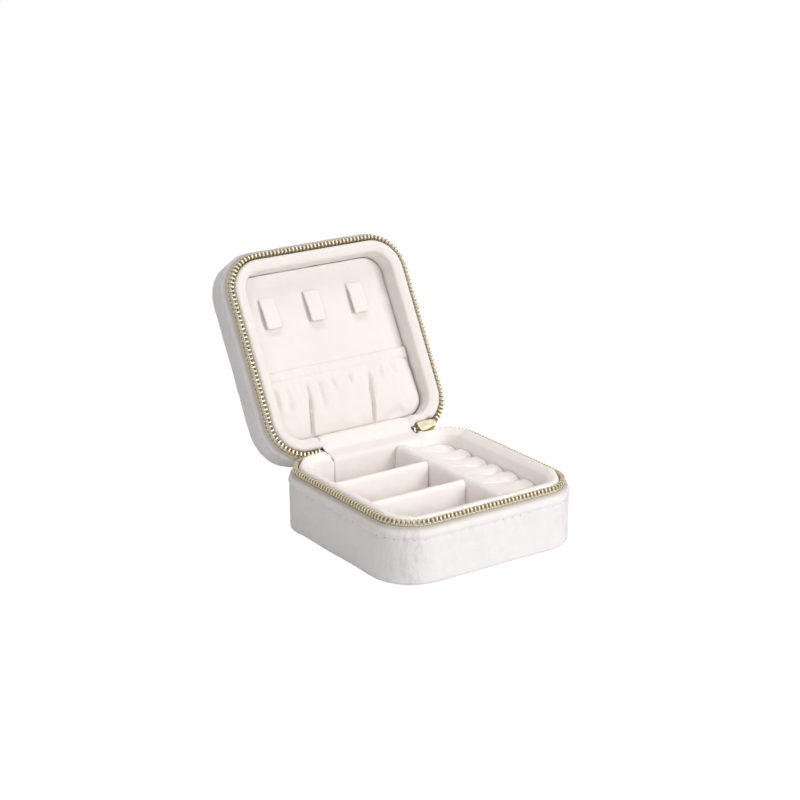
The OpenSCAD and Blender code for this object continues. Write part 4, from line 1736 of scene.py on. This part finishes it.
    def make(self) -> None:
        """Builds everything inside the lid."""
        self.panel()
        hem = self.hem()
        pocket = self.pocket()
        for name in ("left", "middle", "right"):
            self.strap(name)


# ---- Hinge cloths --------------------------------------------------------------------


@dataclass
class HingeCloths:
    """The inner and the outer cloth that join base and lid, and bend as the lid turns.

    Each line runs from the far end to the hinge, in points (y, depth) in millimetres.
    """

    case: Case
    finishes: Finishes
    inner_line: tuple[tuple[float, float], ...] = (
        (39.72, 9.1), (39.72, 6), (39.76, 3.6), (40.1, 1.9), (41.1, 0.85), (43.3, 0.32),
        (46.0, 0.05), (47.4, -0.35))
    outer_line: tuple[tuple[float, float], ...] = (
        (47.25, 11.1), (47.25, 6), (47.25, 3), (47.3, 1.9), (47.75, 0.8))
    inner_flat: tuple[float, float] = (0.0485, 0.035)
    outer_flat: tuple[float, float] = (0.0485, 0.022)
    rows: int = 90

    def both(self, points: tuple[tuple[float, float], ...], longer: float = 0.0) -> Array:
        """A line (y, z) that runs up the base and on through the lid's mirror image of it.

        Args:
            points: Points (y, depth) in millimetres, from the far end to the hinge.
            longer: How much further the far end reaches in the base.

        Returns:
            Points (y, z) in the row frame.
        """
        half = np.insert(np.array(points), 0, 0, axis=1) * MM
        start = half[:1] + [0, 0, longer]
        base = self.case.place(Half.BASE, np.vstack([start, half]))[:, 1:]
        lid = self.case.place(Half.LID, half[::-1])[:, 1:]
        return np.vstack([base, lid])

    def cloth(self, name: str, line: Array, thick: float, waves: float = 0.0,
              swell: float = 0.0) -> Piece:
        """A strip of cloth along a line, as wide as the hinge, closed to a thin slab.

        Args:
            name: Name of the piece.
            line: Points (y, z), which are rounded and evenly spaced.
            thick: Thickness of the cloth.
            waves: Height of its soft waves.
            swell: How far the lid's part stands out at its two sides.

        Returns:
            The piece, without a finish.
        """
        middle = resample(soften(line, 3, closed=False), self.rows, closed=False)
        tangent = np.gradient(middle, axis=0)
        tangent /= np.linalg.norm(tangent, axis=1, keepdims=True)
        normal = np.stack([tangent[:, 1], -tangent[:, 0]], axis=1)
        loop = np.vstack([middle + normal * thick / 2, (middle - normal * thick / 2)[::-1]])
        front = np.vstack([normal, normal[::-1]])
        x = np.linspace(-self.case.cloth_left, self.case.cloth_right, 70)
        flat = np.stack(np.broadcast_arrays(x[:, None], loop[None, :, 0], loop[None, :, 1]), -1)
        edge = np.minimum(x + self.case.cloth_left, self.case.cloth_right - x)[:, None]
        share = np.linspace(0, 1, self.rows)
        share = np.concatenate([share, share[::-1]])
        lift = SoftNoise(10 * MM, len(name))(flat) * waves \
            + swell * (1 - ease(edge, 0, 4 * MM)) * ease(share, 0.52, 0.62)
        flat[..., 1:] += front[None] * lift[..., None]
        return Skin.of_tubes(name, flat[None])

    def make(self) -> None:
        """Builds both cloths and lets them bend across the hinge."""
        inner = self.cloth("inner_hinge_velvet", self.both(self.inner_line, 4 * MM), 0.4 * MM,
                           0.05 * MM, 0.6 * MM)
        # The inner cloth takes a brighter copy of the lining velvet, as painted light.
        dress(inner, self.finishes.hinge)
        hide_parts("base_hinge_cloth", "lid_hinge_cloth")
        self.bend(inner, 44.0, 0.2)
        outer = self.cloth("outer_hinge_velvet", self.both(self.outer_line), 0.5 * MM)
        dress(outer, self.finishes.outer)
        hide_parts("base_spine_cloth", "lid_spine_cloth")
        self.bend(outer, 47.3, 2.2)

    def bend(self, piece: Piece, y: float, depth: float) -> None:
        """Blends a cloth from base to lid between a point, in millimetres, and its mirror image."""
        point = np.array([0, y, depth]) * MM
        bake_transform(piece, "base", "lid", start=tuple(self.case.place(Half.BASE, point)),
                 end=tuple(self.case.place(Half.LID, point)))


# ---- Zip -----------------------------------------------------------------------------


@dataclass
class Zip:
    """Tapes, meshing metal teeth, stops, slider and pull."""

    case: Case
    finishes: Finishes
    chain_w: float = 2.4 * MM
    tooth_t: float = 0.86 * MM
    pitch: float = 2 * MM
    reach: float = 0.55 * MM
    leg: float = 1.5 * MM
    tape_t: float = 0.6 * MM
    bead_r: float = 0.85 * MM
    tape_start: float = 1.15 * MM
    tape_w: float = 10 * MM
    bevel: float = 0.13 * MM
    stop_gap: float = 1.2 * MM
    slider_l: float = 9 * MM
    slack: float = 0.3 * MM

    def marks(self) -> tuple[float, float, int]:
        """Where the teeth and the slider stand between the left and the right stop.

        Returns:
            Lengths along the path of the first tooth and of the slider's middle, and the
            number of teeth in a row.
        """
        half_tooth = self.tooth_t / 2
        length = self.case.chain_path().length()
        left_stop = self.case.cloth_left + self.stop_gap + half_tooth
        right_stop = length - self.case.cloth_right - self.stop_gap - half_tooth
        tail = right_stop - self.pitch / 2 - half_tooth - self.slack
        first = left_stop + self.pitch
        last = tail - self.slider_l - self.slack - self.pitch / 2 - half_tooth
        return first, tail - self.slider_l / 2, math.floor((last - first) / self.pitch)

    def slider_place(self) -> Array:
        """The slider's point (x, y) on the outer face."""
        centre, normal = self.case.chain_path().at(self.marks()[1])
        return centre + self.case.corner_r * normal

    def tooth(self) -> Array:
        """One tooth: rings along the chain of an outline with two legs and a waisted head.

        The first and the last ring are drawn in by the bevel, but not at the slot that grips
        the tape.

        Returns:
            Points (across, depth, along) of shape (rings, outline points, 3).
        """
        half, slot, neck = self.chain_w / 2, self.tape_t / 2 + 0.1 * MM, self.chain_w / 2 * 0.74
        foot = self.tape_start - 0.1 * MM
        side = np.array([
            [half, self.leg - 0.25 * MM], [half, 0.2 * MM], [half - 0.12 * MM, 0.02 * MM],
            [neck + 0.05 * MM, -self.reach * 0.45], [neck, -self.reach + 0.12 * MM],
            [neck - 0.14 * MM, -self.reach]])
        legs = np.array([[-half + 0.25 * MM, self.leg], [-slot, self.leg], [-slot, foot],
                         [slot, foot], [slot, self.leg], [half - 0.25 * MM, self.leg]])
        loop = np.vstack([side, side[::-1] * [-1, 1], legs])
        centre = np.array([0, self.leg * 0.35])
        small = centre + (loop - centre) * (1 - self.bevel / half)
        grip = slice(len(loop) - 5, len(loop) - 1)
        small[grip] = loop[grip]
        t = self.tooth_t / 2
        along = np.array([-t, -t + self.bevel, t - self.bevel, t])[:, None, None]
        rings = np.stack([small, loop, loop, small])
        return np.concatenate([rings, np.broadcast_to(along, rings.shape[:2] + (1,))], -1)

    def teeth(self, half: Half) -> Piece:
        """A row of teeth; the lid's row is shifted by half a pitch so that the two mesh.

        Args:
            half: The half whose tape carries them.

        Returns:
            The finished piece.
        """
        first, _, number = self.marks()
        shift = self.pitch / 2 if half is Half.LID else 0
        places = first + np.arange(number) * self.pitch + shift
        centre, normal = self.case.chain_path().at(places)
        centre = (centre + (self.case.corner_r - self.case.chain_mid) * normal)[:, None, None]
        tangent = np.stack([-normal[:, 1], normal[:, 0]], axis=-1)[:, None, None]
        across, depth, along = np.moveaxis(self.tooth(), -1, 0)
        flat = centre + across[None, ..., None] * normal[:, None, None] \
            + along[None, ..., None] * tangent
        name = half.value
        piece = Skin.of_tubes(f"{name}_gold_teeth", self.case.place(half, with_depth(flat, depth)),
                              smooth=False)
        return settle(piece, self.finishes.gold, name, f"{name}_zip_teeth")

    def tape(self, half: Half) -> Piece:
        """Woven tape with a beaded edge, in two lengths that end at the hinge cloth and the slider.

        Args:
            half: The half that it is sewn to.

        Returns:
            The finished piece.
        """
        path, mid = self.case.chain_path(), self.case.chain_mid
        slider = self.marks()[1]
        room = self.slider_l / 2 + self.slack
        spans = ((self.case.cloth_left, slider - room),
                 (slider + room, path.length() - self.case.cloth_right))
        inner, outer = mid + self.tape_t / 2, mid - self.tape_t / 2
        low, high = self.tape_start, self.tape_start + self.tape_w
        bead = mid + self.bead_r * np.array([-1, 1])
        section = np.array([
            [outer, high], [outer, high * 0.75], [outer, high / 2], [outer, low + 1.1 * MM],
            [bead[0] + 0.3 * MM, low + 1.0 * MM], [bead[0], low + 0.8 * MM],
            [bead[0], low + 0.6 * MM], [bead[0] + 0.2 * MM, low + 0.4 * MM],
            [outer, low + 0.25 * MM], [outer, low], [inner, low], [inner, low + 0.25 * MM],
            [bead[1] - 0.35 * MM, low + 0.4 * MM], [bead[1], low + 0.8 * MM],
            [bead[1], low + 1.6 * MM], [bead[1] - 0.3 * MM, low + 2.4 * MM],
            [inner, low + 3.2 * MM], [inner, high]])
        skin = Skin()
        for start, end in spans:
            along = np.linspace(start, end, max(4, round((end - start) / MM)))
            grid = self.case.place(half, path.sweep(along, section))
            uv = np.stack(np.broadcast_arrays(along[:, None], section[None, :, 1]), axis=-1)
            skin.tubes(grid[None], uv[None])
        name = half.value
        return settle(skin.build(f"{name}_woven_tape", smooth=False), self.finishes.tape, name,
                      f"{name}_zip_tape")

    def plated(self, node: str, bevel: float) -> Piece:
        """A copy of a metal CAD node with merged points and bevelled edges.

        Args:
            node: The node.
            bevel: Width of the bevel.

        Returns:
            The finished piece.
        """
        source = frame["nodes"][node]
        mesh = source.data.copy()
        merge_points(mesh)
        mesh.polygons.foreach_set("use_smooth", np.full(len(mesh.polygons), False))
        piece = bpy.data.objects.new(f"{node}_plated", mesh)
        bpy.context.scene.collection.objects.link(piece)
        edge = piece.modifiers.new("edge", "BEVEL")
        edge.width = bevel
        edge.segments = 2
        edge.limit_method = "ANGLE"
        edge.angle_limit = math.radians(35)
        return settle(piece, self.finishes.gold, body_of(source)[0], node)

    def make(self) -> None:
        """Builds the whole zip."""
        for half in Half:
            self.tape(half)
            self.teeth(half)
            self.plated(f"{half.value}_zip_stops", 0.12 * MM)
        self.plated("zip_slider", 0.15 * MM)
        self.plated("zip_pull", 0.08 * MM)


# ---- Inner pieces that stay as they are ----------------------------------------------


def dress_frame(finishes: Finishes) -> None:
    """Gives the boards, foams, elastic and press studs of the frame their finishes.

    Args:
        finishes: The finishes of the case.
    """
    plan = (
        (finishes.card, "base_bottom_board base_side_board divider_cards lid_top_board "
                        "lid_side_board lid_panel_card"),
        (finishes.foam, "base_wall_foam lid_wall_foam"),
        (finishes.elastic, "pocket_elastic"),
        (finishes.gold, "snap_studs socket_left socket_middle socket_right"),
    )
    for finish, nodes in plan:
        for node in nodes.split():
            dress(frame["nodes"][node], finish)


# ---- Stage ---------------------------------------------------------------------------


@dataclass(frozen=True)
class Lamp:
    """A square soft lamp."""

    name: str
    power: float
    place: Point
    size: float = 0.5

    def make(self, target: Vector) -> None:
        """Hangs the lamp and turns it to a target.

        Args:
            target: The point that it faces.
        """
        data = bpy.data.lights.new(self.name, "AREA")
        data.energy, data.size = self.power, self.size
        lamp = bpy.data.objects.new(self.name, data)
        lamp.location = Vector(self.place)
        lamp.rotation_euler = (target - lamp.location).to_track_quat("-Z", "Y").to_euler()
        bpy.context.scene.collection.objects.link(lamp)


@dataclass
class Stage:
    """Camera, lights, floor and background; angles are in degrees."""

    azimuth: float = -34.539
    elevation: float = 18.521
    roll: float = -0.169
    distance: float = 959.55 * MM
    target: Point = (4.69 * MM, 28.50 * MM, 53.36 * MM)
    focal_px: float = 2127.8
    frame_px: float = 800.0
    ambient: float = 0.31
    floor_glow: float = 0.915
    floor_half: float = 3.0
    lamps: tuple[Lamp, ...] = (
        Lamp("key", 7.5, (0.45, -0.95, 0.50)),
        Lamp("top", 4.4, (0.1, 0.0, 1.25)),
        Lamp("fill", 2.9, (-0.8, -0.75, 0.5)),
    )

    def camera(self) -> None:
        """Camera at the object's three-quarter view, with its small roll."""
        a, e, r = (math.radians(v) for v in (self.azimuth, self.elevation, self.roll))
        back = Vector((math.sin(a) * math.cos(e), -math.cos(a) * math.cos(e), math.sin(e)))
        right = Vector((math.cos(a), math.sin(a), 0))
        up = back.cross(right)
        turned = right * math.cos(r) + up * math.sin(r)
        axes = Matrix((turned, back.cross(turned), back)).transposed()
        data = bpy.data.cameras.new("camera")
        data.sensor_width = 36
        data.lens = data.sensor_width * self.focal_px / self.frame_px
        data.clip_start, data.clip_end = 0.01, 50
        camera = bpy.data.objects.new("camera", data)
        camera.matrix_world = Matrix.Translation(
            Vector(self.target) + back * self.distance) @ axes.to_4x4()
        bpy.context.scene.collection.objects.link(camera)
        bpy.context.scene.camera = camera

    def seen(self, graph: Graph) -> Signal:
        """1 for what the camera and reflections see, and 0 for light that falls on the piece."""
        rays = graph.node("ShaderNodeLightPath")
        return Signal(graph, rays.outputs["Is Camera Ray"]) \
            + Signal(graph, rays.outputs["Is Glossy Ray"])

    def world(self) -> None:
        """An even grey light, which the camera and reflections see as white."""
        bpy.context.scene.world = bpy.data.worlds.new("studio")
        graph = Graph(bpy.context.scene.world)
        strength = graph.signal("ShaderNodeMapRange", None, {
            "Value": self.seen(graph), "To Min": self.ambient, "To Max": 1.0})
        background = graph.node("ShaderNodeBackground", None,
                                {"Color": rgba(1, 1, 1), "Strength": strength})
        graph.node("ShaderNodeOutputWorld", None, {"Surface": background.outputs[0]})

    def floor(self) -> None:
        """A pale floor that the camera sees as white where no shadow falls."""
        side = np.array([-self.floor_half, self.floor_half])
        x, y = np.meshgrid(side, side, indexing="ij")
        skin = Skin()
        skin.grid(np.stack([x, y, np.full_like(x, -0.02 * MM)], axis=-1))
        floor = skin.build("floor")
        if floor.data.polygons[0].normal.z < 0:
            floor.data.flip_normals()
        graph = Graph.material("pale_floor")
        seen = self.seen(graph)
        plain = graph.node("ShaderNodeBsdfDiffuse", None, {"Color": rgba(0.8, 0.8, 0.8)})
        faint = graph.node("ShaderNodeBsdfDiffuse", None, {"Color": rgba(0.26, 0.26, 0.26)})
        glow = graph.node("ShaderNodeEmission", None,
                          {"Color": rgba(1, 1, 1), "Strength": self.floor_glow})
        both = graph.node("ShaderNodeAddShader", None, {0: faint.outputs[0], 1: glow.outputs[0]})
        shown = graph.node("ShaderNodeMixShader", None, {
            0: seen, 1: plain.outputs[0], 2: both.outputs[0]})
        graph.node("ShaderNodeOutputMaterial", None, {"Surface": shown.outputs[0]})
        floor.data.materials.append(graph.owner)

    def make(self) -> None:
        """Sets up the whole stage."""
        bpy.context.scene.view_settings.view_transform = "Standard"
        self.camera()
        self.world()
        self.floor()
        for lamp in self.lamps:
            lamp.make(Vector(self.target))


def main() -> None:
    """Builds the case's sub-assemblies in order."""
    logging.basicConfig(level=logging.INFO, format="%(name)s: %(message)s")
    Stage().make()
    case = Case.from_frame()
    finishes = Finishes.build()
    zipper = Zip(case, finishes)
    for half in Half:
        OuterShell(case, finishes, half, zipper.slider_place()).make()
        Lining(case, finishes, half, zipper.marks()[1]).make()
    Trays(case, finishes).make()
    LidInside(case, finishes).make()
    HingeCloths(case, finishes).make()
    zipper.make()
    dress_frame(finishes)


if __name__ == "__main__":
    main()
